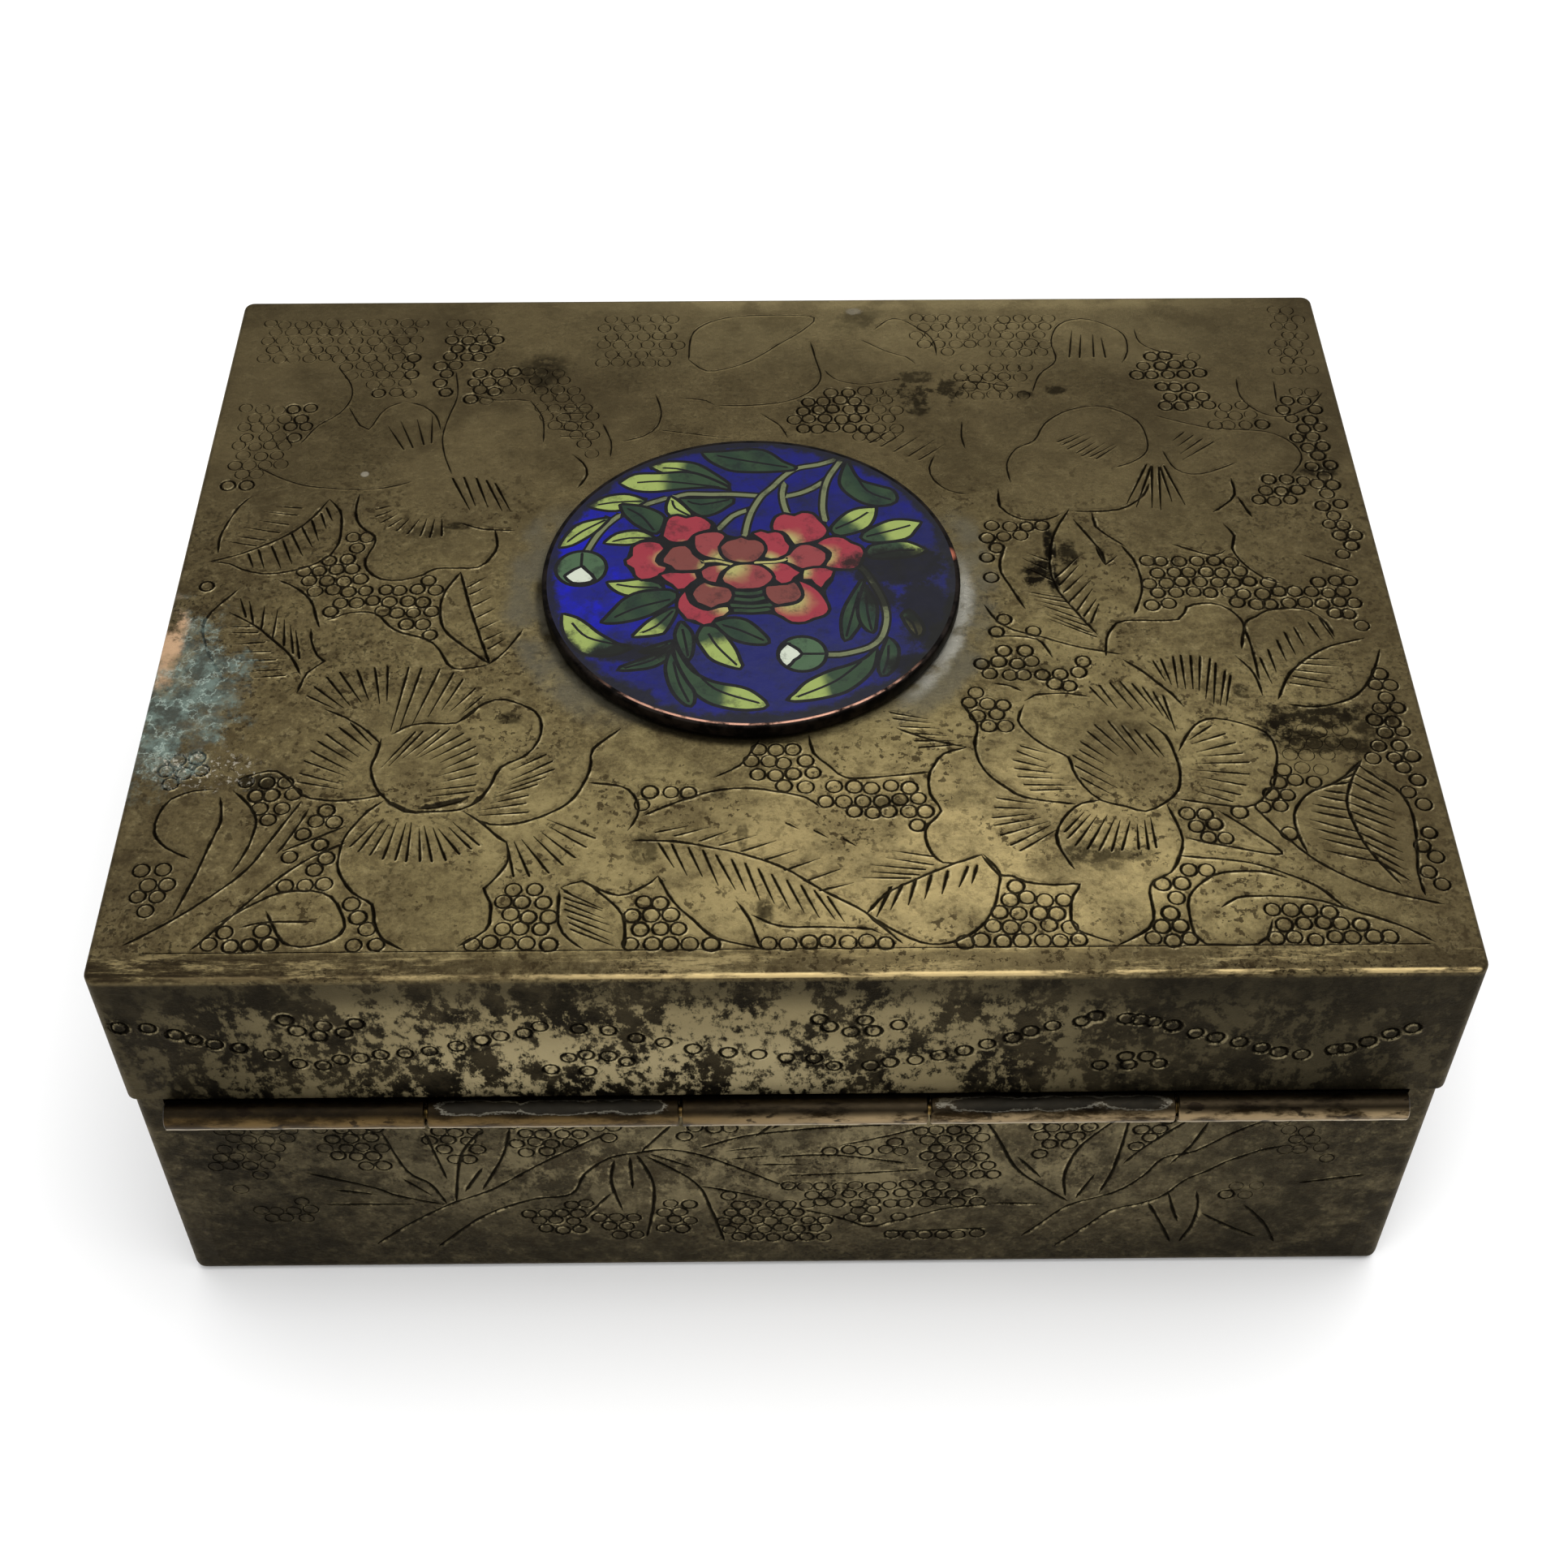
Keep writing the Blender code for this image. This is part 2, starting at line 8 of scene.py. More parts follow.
import bmesh
import bpy
import numpy as np
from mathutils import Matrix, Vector
from mathutils.geometry import delaunay_2d_cdt


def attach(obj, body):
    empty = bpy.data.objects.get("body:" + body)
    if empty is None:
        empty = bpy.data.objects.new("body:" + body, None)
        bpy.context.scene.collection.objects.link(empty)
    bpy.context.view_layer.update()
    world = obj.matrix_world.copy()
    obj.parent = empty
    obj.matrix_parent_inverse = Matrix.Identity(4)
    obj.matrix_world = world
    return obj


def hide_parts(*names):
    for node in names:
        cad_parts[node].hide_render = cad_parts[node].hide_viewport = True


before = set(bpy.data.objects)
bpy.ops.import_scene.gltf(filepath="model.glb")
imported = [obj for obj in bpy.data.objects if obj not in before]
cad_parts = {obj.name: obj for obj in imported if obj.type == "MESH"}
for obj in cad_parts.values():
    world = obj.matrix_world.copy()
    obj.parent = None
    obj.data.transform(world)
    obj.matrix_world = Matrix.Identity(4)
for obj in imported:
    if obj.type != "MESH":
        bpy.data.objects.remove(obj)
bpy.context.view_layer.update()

# The base is the lower half of the box, folded and soldered from brass sheet just under a
# millimetre thick. Bamboo is chased on its sides and the space between is filled with the marks
# of a small ring punch. Along the hinge its rim is cut down to take the tubes.
MM = 0.001
LENGTH = 0.121
DEPTH = 0.096
OVERHANG = 0.0004
SHEET = 0.00095
FLOOR = 0.0010
CORNER = 0.0011
CORNER_STEPS = 6
EDGE_STEPS = 5
FOOT_EDGE = 0.0012
BASE_RIM = 0.03125
NOTCH_X = 0.0573
NOTCH_Z = 0.028475
TINY = 1e-6
# The chased marks, lengths in millimetres: their widths, depths and burrs, a ring's corners and the
# rows of rings. Burrs are rubbed bright and carry a painted highlight, strongest on the side of a
# mark that faces the light, and on its other side past FAR_HALF.
LINE = 0.46
LINE_DEPTH = 0.18
HATCH = 0.36
HATCH_DEPTH = 0.14
RING = 0.74
RING_LINE = 0.39
RING_DEPTH = 0.15
RING_CORNERS = 12
PITCH = 1.68
ROW_RISE = 0.92
BURR = 0.038
BURR_REACH = 1.1
LIT_SIDE = (0.6, -0.8)
FAR_HALF = 12
# The four walls: where each looks, which way its drawing runs, and how far to each side
WALLS = (((0, -1, 0), (1, 0, 0), 60), ((0, 1, 0), (-1, 0, 0), 60),
         ((1, 0, 0), (0, 1, 0), 47), ((-1, 0, 0), (0, -1, 0), 47))
random.seed(7)


def curve(flat, spacing=0.9):
    """A smooth line through listed points, given as x, y, x, y."""
    points = [Vector(pair) for pair in zip(flat[::2], flat[1::2])]
    if len(points) == 2:
        points.insert(1, (points[0] + points[1]) / 2)
    ends = [points[0], *points, points[-1]]
    line = []
    for before, start, stop, after in zip(ends, ends[1:], ends[2:], ends[3:]):
        steps = max(1, round((stop - start).length / spacing))
        for step in range(steps):
            t = step / steps
            line.append(0.5 * (2 * start + (stop - before) * t
                               + (2 * before - 5 * start + 4 * stop - after) * t ** 2
                               + (3 * start - before - 3 * stop + after) * t ** 3))
    return [*line, points[-1]]


def traced(flats, width=LINE, depth=LINE_DEPTH):
    """Outlines struck with a tracing punch: even in width, a little uneven in depth."""
    cuts = []
    for flat in flats:
        line = curve(flat)
        force = [random.uniform(0.62, 1.0) for _ in line]
        force[0] = force[-1] = 0.25
        cuts.append((line, force, width, depth))
    return cuts


def combed(rows, width=HATCH, depth=HATCH_DEPTH):
    """Rows of straight strokes. A row gives the line their feet stand on, the line their tips
    reach, and their count. Each stroke is struck hard at its foot and runs out at its tip."""
    cuts = []
    for feet, tips, count in rows:
        feet, tips = curve(feet, 0.25), curve(tips, 0.25)
        for step in range(count):
            t = step / (count - 1)
            shake = Vector((random.uniform(-0.1, 0.1), random.uniform(-0.1, 0.1)))
            foot = feet[round(t * (len(feet) - 1))] + shake
            tip = tips[round(t * (len(tips) - 1))] - shake
            tip = foot + (tip - foot) * random.uniform(0.88, 1.06)
            line = [foot, foot.lerp(tip, 0.2), foot.lerp(tip, 0.6), tip]
            cuts.append((line, [0.8, 1.0, 0.75, 0.3], width, depth))
    return cuts


def leaf_veins(rib, left, right, counts, inset=0.75):
    """Side veins from a leaf's rib towards its two edges, each given as x, y, x, y."""
    cuts = []
    rib = curve(rib, 0.5)
    for edge, count in zip((left, right), counts):
        edge = curve(edge, 0.5)
        for step in range(count):
            t = (step + 0.7) / (count + 0.6)
            foot = rib[round(t * 0.86 * (len(rib) - 1))]
            goal = edge[min(round((t * 0.86 + 0.13) * (len(edge) - 1)), len(edge) - 1)]
            tip = foot.lerp(goal, inset * random.uniform(0.9, 1.05))
            cuts.append(([foot, foot.lerp(tip, 0.35), foot.lerp(tip, 0.75), tip],
                         [0.5, 1.0, 0.8, 0.3], LINE, LINE_DEPTH))
    return cuts


def ringed(corners, cuts, taken):
    """Ring-punch marks in rows that fill a patch, kept off the outlines and off each other."""
    corners = [Vector(pair) for pair in zip(corners[::2], corners[1::2])]
    low_x, high_x = min(c.x for c in corners), max(c.x for c in corners)
    low_y, high_y = min(c.y for c in corners), max(c.y for c in corners)
    row, y = 0, low_y + PITCH * 0.3
    while y < high_y:
        x = low_x + PITCH * (0.3 + 0.5 * (row % 2))
        while x < high_x:
            mark = Vector((x + random.uniform(-0.2, 0.2), y + random.uniform(-0.2, 0.2)))
            inside = False
            for a, b in zip(corners, [*corners[1:], corners[0]]):
                if (a.y > mark.y) != (b.y > mark.y):
                    if mark.x < (b.x - a.x) * (mark.y - a.y) / (b.y - a.y) + a.x:
                        inside = not inside
            clear = all((mark - other).length > PITCH * 0.76 for other in taken)
            if inside and clear and all((mark - point).length > RING * 0.62
                                        for line, *_ in cuts for point in line):
                taken.append(mark)
            x += PITCH
        y += PITCH * ROW_RISE
        row += 1


def engraved_height(places, cuts, rings):
    """How high each place lies against the face, in mm, how deep in a line it is from 0 to 1, and
    how much of a burr's rubbed brightness and painted highlight it carries; the highlight is strongest
    on the side that faces the light. A line is a V with the metal that it pushed up."""
    sunk = np.zeros(len(places))
    share = np.zeros(len(places))
    raised = np.zeros(len(places))
    wear_and_sheen = np.zeros(len(places))
    order = np.argsort(places[:, 0])
    sorted_x = places[order, 0]

    def strike(low, high, away_of, width, deep):
        own = order[np.searchsorted(sorted_x, low - width):np.searchsorted(sorted_x, high + width)]
        away, strength = away_of(places[own])
        gap = np.linalg.norm(away, axis=1)
        half = np.maximum(width / 2 * strength, 1e-3)
        inner = np.clip(1 - gap / half, 0, 1)
        sunk[own] = np.maximum(sunk[own], deep * strength * inner)
        share[own] = np.maximum(share[own], inner * np.minimum(1, 0.35 + strength))
        outer = np.clip((width * BURR_REACH * strength - gap) / (half * (2 * BURR_REACH - 1)), 0, 1)
        raised[own] = np.maximum(raised[own], BURR * strength * outer)
        # Painted highlight: a burr is brightest on the side that faces the light, and on its other side past
        # FAR_HALF
        facing = away @ np.array(LIT_SIDE) / np.maximum(gap, 1e-6)
        facing = facing * np.where(places[own, 1] > FAR_HALF, -1, 1)
        rubbed = strength * outer * min(1, deep / HATCH_DEPTH)
        wear_and_sheen[own] = np.maximum(wear_and_sheen[own], rubbed * np.clip(0.3 + 0.7 * facing, 0, 1))

    for line, force, width, deep in cuts:
        for start, stop, first, last in zip(line, line[1:], force, force[1:]):
            start, run = np.array(start), np.array(stop - start)

            def away_of(near):
                t = np.clip((near - start) @ run / max(run @ run, 1e-9), 0, 1)
                return near - start - t[:, None] * run, first + (last - first) * t
            ends_x = start[0], start[0] + run[0]
            strike(min(ends_x), max(ends_x), away_of, width, deep)
    for mark, radius, force in rings:
        def away_of(near):
            spoke = near - np.array(mark)
            length = np.maximum(np.linalg.norm(spoke, axis=1), 1e-6)
            return spoke * (1 - radius / length)[:, None], np.full(len(near), force)
        strike(mark.x - radius, mark.x + radius, away_of, RING_LINE, RING_DEPTH)
    cut = share > 0.03
    return np.where(cut, -sunk, raised), share, wear_and_sheen


def chase(bm, face, along, up, start, cuts, marks, strength=lambda mark: 1):
    """Cuts a drawing into one flat face. The drawing's x runs along and its y runs up, in mm,
    from the start point, and the face's own corners are kept, so that its neighbours still meet."""
    along, up = Vector(along), Vector(up)
    groove, burr = bm.verts.layers.float["groove"], bm.verts.layers.float["burr"]
    normal = along.cross(up)
    corners = list(face.verts)
    level = corners[0].co.dot(normal)
    outline = [((c.co - Vector(start)).dot(along) / MM, (c.co - Vector(start)).dot(up) / MM)
               for c in corners]
    places = [Vector(corner) for corner in outline]
    edges = [(index, (index + 1) % len(outline)) for index in range(len(outline))]

    def add(line, closed=False):
        first = len(places)
        places.extend(line)
        edges.extend((index, index + 1) for index in range(first, len(places) - 1))
        if closed:
            edges.append((len(places) - 1, first))

    for line, force, width, _ in cuts:
        ways = [(line[min(index + 1, len(line) - 1)] - line[max(index - 1, 0)]).normalized()
                for index in range(len(line))]
        for reach in (width * BURR_REACH, width / 2):
            left = [point + Vector((-way.y, way.x)) * reach * hard
                    for point, way, hard in zip(line, ways, force)]
            right = [2 * point - other for point, other in zip(line, left)]
            before = line[0] - ways[0] * reach * force[0]
            after = line[-1] + ways[-1] * reach * force[-1]
            add([before, *left, after, *reversed(right)], True)
        add(line)
    rings = [(mark, RING * random.uniform(0.94, 1.05), random.uniform(0.65, 1.0) * strength(mark))
             for mark in marks]
    turns = [math.tau * step / RING_CORNERS for step in range(RING_CORNERS)]
    for mark, radius, force in rings:
        for offset in (-BURR_REACH, -0.5, 0, 0.5, BURR_REACH):
            add([mark + (radius + offset * RING_LINE * force) * Vector((math.cos(turn), math.sin(turn)))
                 for turn in turns], True)
    flat, _, triangles, sources, *_ = delaunay_2d_cdt(places, edges, [], 1, 1e-4)
    heights, shares, wear_and_sheen = engraved_height(np.array([tuple(place) for place in flat]), cuts, rings)
    made = []
    for place, height, share, burr_wear_and_sheen, own in zip(flat, heights, shares, wear_and_sheen, sources):
        corner = next((index for index in own if index < len(corners)), None)
        if corner is None:
            vert = bm.verts.new(Vector(start) + along * place.x * MM + up * place.y * MM)
            vert.co += normal * (level - vert.co.dot(normal) + height * MM)
            vert[groove], vert[burr] = share, burr_wear_and_sheen
        else:
            vert = corners[corner]
        made.append(vert)
    bmesh.ops.delete(bm, geom=[face], context="FACES_ONLY")
    for triangle in triangles:
        bm.faces.new([made[index] for index in triangle]).smooth = False


def sheet_box(length, depth, height, edge, wall, floor):
    """A box of sheet metal open at the top, standing on z = 0: an outer and an inner form that
    meet at the rim. The inside takes the second material."""
    bm = bmesh.new()
    bm.verts.layers.float.new("groove")
    bm.verts.layers.float.new("burr")
    rim = []
    for inset, bottom in ((0, 0), (wall, floor)):
        known = set(bm.faces)
        verts = bmesh.ops.create_cube(bm, size=1)["verts"]
        bmesh.ops.scale(bm, vec=(length - 2 * inset, depth - 2 * inset, height - bottom), verts=verts)
        bmesh.ops.translate(bm, vec=(0, 0, (height + bottom) / 2), verts=verts)
        uprights = [e for e in bm.edges if e.verts[0] in verts
                    and abs(e.verts[0].co.z - e.verts[1].co.z) > height / 2]
        bmesh.ops.bevel(bm, geom=uprights, offset=CORNER - inset, offset_type="OFFSET",
                        segments=CORNER_STEPS, profile=0.5, affect="EDGES", material=-1)
        if not inset:
            around = [e for e in bm.edges if all(v.co.z < height / 10 for v in e.verts)]
            bmesh.ops.bevel(bm, geom=around, offset=edge, offset_type="OFFSET",
                            segments=EDGE_STEPS, profile=0.5, affect="EDGES", material=-1)
        own = [f for f in bm.faces if f not in known]
        for part in own:
            part.material_index = 1 if inset else 0
            part.smooth = True
        top = [f for f in own if all(v.co.z > height * 0.99 for v in f.verts)]
        rim.append(sorted(top[0].verts, key=lambda v: math.atan2(v.co.y, v.co.x)))
        bmesh.ops.delete(bm, geom=top, context="FACES_ONLY")
    for (a, b), (d, c) in zip(*(zip(loop, [*loop[1:], loop[0]]) for loop in rim)):
        bm.faces.new((a, b, c, d)).smooth = True
    bmesh.ops.recalc_face_normals(bm, faces=bm.faces)
    return bm


def flat_face(bm, way):
    """The largest flat outer face of a box that looks a given way."""
    way = Vector(way)
    bm.normal_update()
    looking = [f for f in bm.faces if f.normal.dot(way) > 0.999
               and f.calc_center_median().dot(way) > 0]
    return max(looking, key=lambda f: f.calc_area())


def settle(name, bm, *finishes, body, node, slot, sharp=35):
    """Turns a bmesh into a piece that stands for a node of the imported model."""
    for edge in bm.edges:
        edge.smooth = edge.calc_face_angle(0) < math.radians(sharp)
    mesh = bpy.data.meshes.new(name)
    bm.to_mesh(mesh)
    bm.free()
    for finish in finishes:
        mesh.materials.append(finish)
    piece = bpy.data.objects.new(name, mesh)
    bpy.context.scene.collection.objects.link(piece)
    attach(piece, body)
    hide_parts(node)
    return piece


def linear(red, green, blue):
    """A colour read in 0 to 255 as the light values that a shader takes."""
    return tuple(((v / 255 + 0.055) / 1.055) ** 2.4 if v > 10 else v / 255 / 12.92
                 for v in (red, green, blue)) + (1.0,)


class Value:
    """A node's output. Arithmetic on it adds the Math node that does the same."""

    def __init__(self, finish, socket):
        self.finish, self.socket = finish, socket

    def math(self, operation, *values):
        return self.finish.node("ShaderNodeMath", {"operation": operation}, dict(enumerate(values)))

    def __add__(self, other):
        return self.math("ADD", self, other)

    def __sub__(self, other):
        return self.math("SUBTRACT", self, other)

    def __rsub__(self, other):
        return self.math("SUBTRACT", other, self)

    def __mul__(self, other):
        return self.math("MULTIPLY", self, other)

    def __truediv__(self, other):
        return self.math("DIVIDE", self, other)

    def __pow__(self, other):
        return self.math("POWER", self, other)

    def __abs__(self):
        return self.math("ABSOLUTE", self)

    def most(self, other):
        """The greater of the two."""
        return self.math("MAXIMUM", self, other)

    def above(self, low, high):
        """0 below low and 1 above high, with an even slope between."""
        return self.finish.node("ShaderNodeMapRange", {"interpolation_type": "SMOOTHSTEP"},
                                {0: self, 1: low, 2: high})

    def below(self, low, high):
        return 1 - self.above(low, high)

    __radd__, __rmul__ = __add__, __mul__


class Finish:
    """One material and the ways its nodes are made."""

    def __init__(self, name, **fixed):
        self.material = bpy.data.materials.new(name)
        self.material.use_nodes = True
        self.tree = self.material.node_tree
        self.shader = self.tree.nodes["Principled BSDF"]
        for socket, value in fixed.items():
            self.shader.inputs[socket.replace("_", " ")].default_value = value
        self.place = self.node("ShaderNodeTexCoord", {}, {}, "Object")
        self.x, self.y, self.z = (
            self.node("ShaderNodeSeparateXYZ", {}, {0: self.place}, part) * 1000 for part in range(3))
        self.fray = self.noise(360, 9.0, rough=0.78) - 0.5

    def node(self, kind, settings, sockets, output=0):
        made = self.tree.nodes.new(kind)
        for name, value in settings.items():
            setattr(made, name, value)
        for name, value in sockets.items():
            if isinstance(value, Value):
                self.tree.links.new(value.socket, made.inputs[name])
            else:
                made.inputs[name].default_value = value
        return Value(self, made.outputs[output])

    def noise(self, scale, detail=4.0, stretch=(1, 1, 1), rough=0.55, shift=0.0):
        """Cloudy noise from 0 to 1. Scale is in features per metre."""
        spread = self.node("ShaderNodeMapping", {}, {"Vector": self.place, "Scale": stretch,
                                                     "Location": (shift, shift * 0.7, 0)})
        return self.node("ShaderNodeTexNoise", {}, {"Vector": spread, "Scale": scale,
                                                    "Detail": detail, "Roughness": rough})

    def mix(self, share, first, second):
        return self.node("ShaderNodeMix", {"data_type": "RGBA"}, {0: share, 6: first, 7: second}, 2)

    def layered(self, tone, *layers):
        """A tone under further ones, each given as the share that it covers and its colour."""
        for share, colour in layers:
            tone = self.mix(share, tone, colour)
        return tone

    def spot(self, x, y, wide, high, soft=0.5, ragged=0.0):
        """1 inside an oval on the drawing's plane and 0 outside it, with a soft, ragged edge."""
        a = (self.x - x) / wide
        b = (self.y - y) / high
        gap = (a * a + b * b) ** 0.5
        if ragged:
            gap = gap + self.fray * ragged
        return gap.below(1 - soft, 1 + soft)

    def attribute(self, name, output="Fac"):
        return self.node("ShaderNodeAttribute", {"attribute_name": name}, {}, output)

    def send(self, **links):
        for socket, value in links.items():
            self.tree.links.new(value.socket, self.shader.inputs[socket.replace("_", " ")])

    def relief(self, height, distance):
        self.send(Normal=self.node("ShaderNodeBump", {}, {"Strength": 1.0, "Distance": distance,
                                                          "Height": height}))


def brass_sheet(name, dark, light):
    """Old brass: clouds of patina between two tones, a fine mottle, and dark pits."""
    finish = Finish(name, Metallic=1.0, Specular_Tint=(0.86, 0.8, 0.7, 1))
    cloud = finish.noise(70, 9.0, rough=0.78).above(0.36, 0.64)
    mottle = finish.noise(650, 8.0, rough=0.85)
    scattered = finish.noise(90, 3.0, shift=0.9).above(0.4, 0.62)
    pits = finish.noise(2200, 2.0, rough=0.5, shift=0.6).above(0.56, 0.61) * (scattered * 0.75 + 0.25)
    tone = finish.layered(
        finish.mix(cloud, dark, light),
        (mottle.above(0.49, 0.6) * 0.65, linear(50, 40, 26)),
        (mottle.below(0.38, 0.48) * 0.4, linear(150, 137, 100)),
        (pits * 0.85, linear(22, 17, 11)),
    )
    return finish, tone, mottle


def cut_marks(finish, tone, mottle, soil, wear_and_sheen):
    """Soil lies in the chased lines, and the burrs beside them are rubbed bright and carry a painted
    highlight on the side that faces the light.
    """
    groove, burr = finish.attribute("groove"), finish.attribute("burr")
    ragged = groove + (mottle - 0.5) * groove.above(0.02, 0.2) * 1.5
    return finish.layered(
        tone,
        (burr.above(0.1, 0.7) * mottle.below(0.43, 0.53) * wear_and_sheen, linear(206, 190, 146)),
        (ragged.above(0.16, 0.46) * 0.94, soil),
    )


# Bamboo on the hinge side: stems and long leaves as they are chased, x along the wall and y up
HINGE_SIDE = (
    (-41, 5, -37.5, 8.6, -33, 12.3, -28.5, 15, -23.5, 19.5, -17, 24.6),
    (-35, 4.3, -30, 10, -25, 13, -21, 14, -19.5, 17.5, -17, 20.3, -14.3, 21.2, -11, 21.7, -7, 20,
     -0.5, 15.3),
    (-32.3, 13, -31, 21, -28.5, 25.5), (-29.5, 15, -27, 21, -26, 25.5),
    (-33.3, 12.5, -34.5, 16, -36.5, 18.5, -38, 25), (-32.8, 17, -34, 25),
    (-33.5, 12.3, -38, 14, -40, 15.5, -46, 18.2), (-36.5, 12.4, -45, 12.5),
    (-44, 15.2, -39.8, 14.2), (-31.2, 14.7, -29.2, 18.8), (-37, 17, -34.6, 14),
    (-16.5, 20, -17, 16, -16.2, 11), (-15, 20.5, -15, 15), (-14.3, 20.8, -13, 16, -13.2, 11, -14, 6),
    (-13.5, 20.7, -9, 16, -7.5, 11, -6.3, 5), (-13, 21, -9, 18.5), (-8.3, 15.2, -4.5, 13.9, -1.5, 12.5),
    (-13.8, 21.5, -10.8, 26), (-17.2, 14, -20, 9.5), (-8.5, 21.8, -5.5, 23.3, -3, 24.2, 3, 25.2, 10, 25.7),
    (-5.5, 20, -1.4, 20.6), (-1, 20.3, 2.5, 20.6, 6, 20.3, 11.5, 19), (5, 22.2, 9, 23.6, 12.7, 25.2),
    (-2.7, 19, 1.3, 19), (0, 17, 3.5, 17.2, 8, 17.4, 13, 17.9), (-5.8, 21.4, -2.5, 22),
    (1.7, 10.7, 5, 9.3, 8, 7.5, 10, 8.2, 13, 9.6, 16, 10.9, 20, 11.4), (10, 6.5, 20, 7),
    (-3, 23.8, -1.2, 26.2), (-1.4, 25.2, -0.4, 26.2),
    (23.5, 5.5, 25, 7.5, 27.7, 11.2, 32, 13.5, 34.5, 16.5, 36, 19.5, 39, 20.8, 42, 23.8, 45, 26),
    (27.5, 12, 24.5, 15, 22, 18, 20, 23, 18.5, 26.5), (22, 20, 24.5, 16.3),
    (27.2, 13, 26.8, 17, 28, 22, 31, 26.5),
    (30.5, 13.5, 31.3, 17, 31.8, 22, 32, 26.5), (25, 11.5, 20, 11.7), (28.3, 12.5, 29.7, 16.8),
    (32.3, 18.7, 34, 21.5, 37.5, 26), (36.8, 18.5, 38.5, 22, 39.5, 25.8),
    (27, 3.5, 30, 7.5, 32, 10.2, 35, 11.5, 37, 13, 38.5, 15.5, 40.5, 17.2, 42, 18.7, 45, 20.7, 47, 21.5),
    (35.5, 11.5, 37, 8, 38.5, 4.2), (37.3, 13.2, 38, 10.5, 38.8, 8),
    (40, 13.5, 40.5, 10.5, 40.3, 7, 39.5, 4.2),
    (45, 11, 47.5, 7.5, 49, 4), (41, 9.5, 44, 7, 47, 5), (49.8, 15, 56, 16.3),
)
# Patches between them that the ring punch fills
HINGE_SIDE_GROUND = (
    (-44, 20, -38.5, 19, -37.5, 26.3, -44, 26.3), (-34, 20, -29.5, 20, -28, 26.3, -34, 26.3),
    (-25.5, 19.5, -18, 24, -20.5, 26.3, -26, 26.3), (-25.5, 7, -19, 7, -19, 12.5, -26, 11),
    (-0.5, 15.6, 14, 16, 19, 13.8, 19, 11.8, 3, 11.5), (-7, 5.2, 4, 5.2, 4, 12, -6, 14),
    (5.5, 8.6, 13, 9.4, 13, 12, 4, 11.8), (2, 21, 10, 23, 12, 20.8, 4, 20.9),
    (10, 5.4, 20, 5.4, 20, 6.6, 10, 6.6), (-18, 6, -15, 6, -15, 11, -19, 10),
    (-12.6, 7, -9, 7, -9.5, 13, -12.5, 13), (-20, 22, -17, 23, -15.5, 26.3, -20, 26.3),
    (13, 18, 19, 15, 21, 18, 17, 26.3, 12, 26.3), (32.8, 21, 38, 25, 37, 26.3, 32.8, 26.3),
    (-10, 23.4, -4, 25.5, -4, 26.3, -10, 26.3),
    (-53, 9.5, -47, 9.5, -46, 13.5, -51, 12.8), (-56, 19, -49, 17.5, -46, 26.3, -53, 26.3),
    (-55, 15, -51, 15, -51, 17.5),
    (47, 20, 52, 19, 50, 25, 46, 26.3), (42.5, 12.5, 46, 12.5, 47, 16, 43.5, 16),
    (24, 20, 27.5, 22, 29, 26.3, 22, 26.3),
)
# One bamboo leaf: how far along it its sides bow out, as shares of its length and its width
BLADE = ((0.02, 0), (0.3, 0.9), (0.6, 0.8), (1, 0))


def bamboo(x):
    """A plainer spray of bamboo for the sides that face away, as lines about a stem at x."""
    lines = [(x - 10, 4.8, x - 5, 8.6, x, 13, x + 4, 17.5, x + 9, 22.5)]
    for turn, reach, wide in ((78, 11, 1.3), (104, 12.5, 1.5), (141, 13, 1.4), (176, 10, 1.2),
                              (-48, 9.5, 1.3), (-8, 13, 1.4), (24, 12, 1.3)):
        c, s = math.cos(math.radians(turn)), math.sin(math.radians(turn))
        for hand in (-1, 1):
            flat = []
            for t, bow in BLADE:
                flat += [x + reach * t * c - hand * wide * bow * s,
                         13 + reach * t * s + hand * wide * bow * c]
            lines.append(tuple(flat))
    return lines


base = sheet_box(LENGTH - 2 * OVERHANG, DEPTH - 2 * OVERHANG, BASE_RIM, FOOT_EDGE, SHEET, FLOOR)
base.normal_update()
# The hinge wall lies beyond near_wall, and mid_sheet parts its outer skin from its inner one
near_wall = OVERHANG + 2 * SHEET - DEPTH / 2
mid_sheet = OVERHANG + SHEET / 2 - DEPTH / 2
for plane, normal in (((NOTCH_X, 0, 0), (1, 0, 0)),
                      ((-NOTCH_X, 0, 0), (1, 0, 0)),
                      ((0, 0, NOTCH_Z), (0, 0, 1))):
    cut = [f for f in base.faces if f.calc_center_median().y < near_wall and f.calc_area() > 5e-7
           and max(abs(f.normal.y), abs(f.normal.z)) > 0.999 and f.calc_center_median().z > FLOOR * 2]
    touched = {e for f in cut for e in f.edges} | {v for f in cut for v in f.verts}
    bmesh.ops.bisect_plane(base, geom=[*cut, *touched], plane_co=plane, plane_no=normal, dist=1e-7)
away = [f for f in base.faces if f.calc_center_median().z > NOTCH_Z
        and f.calc_center_median().y < near_wall and abs(f.calc_center_median().x) < NOTCH_X]
bmesh.ops.delete(base, geom=away, context="FACES")
open_edges = [e for e in base.edges if e.is_boundary]
for on_edge in (lambda v: abs(v.co.z - NOTCH_Z) < TINY,
                lambda v: v.co.x > NOTCH_X - TINY,
                lambda v: v.co.x < TINY - NOTCH_X):
    ends = sorted({v for e in open_edges for v in e.verts if on_edge(v)},
                  key=lambda v: (v.co.y, v.co.x, v.co.z))
    outer = [v for v in ends if v.co.y < mid_sheet]
    inner = [v for v in ends if v.co.y > mid_sheet]
    base.faces.new((outer[0], outer[-1], inner[-1], inner[0])).smooth = False
bmesh.ops.recalc_face_normals(base, faces=base.faces)
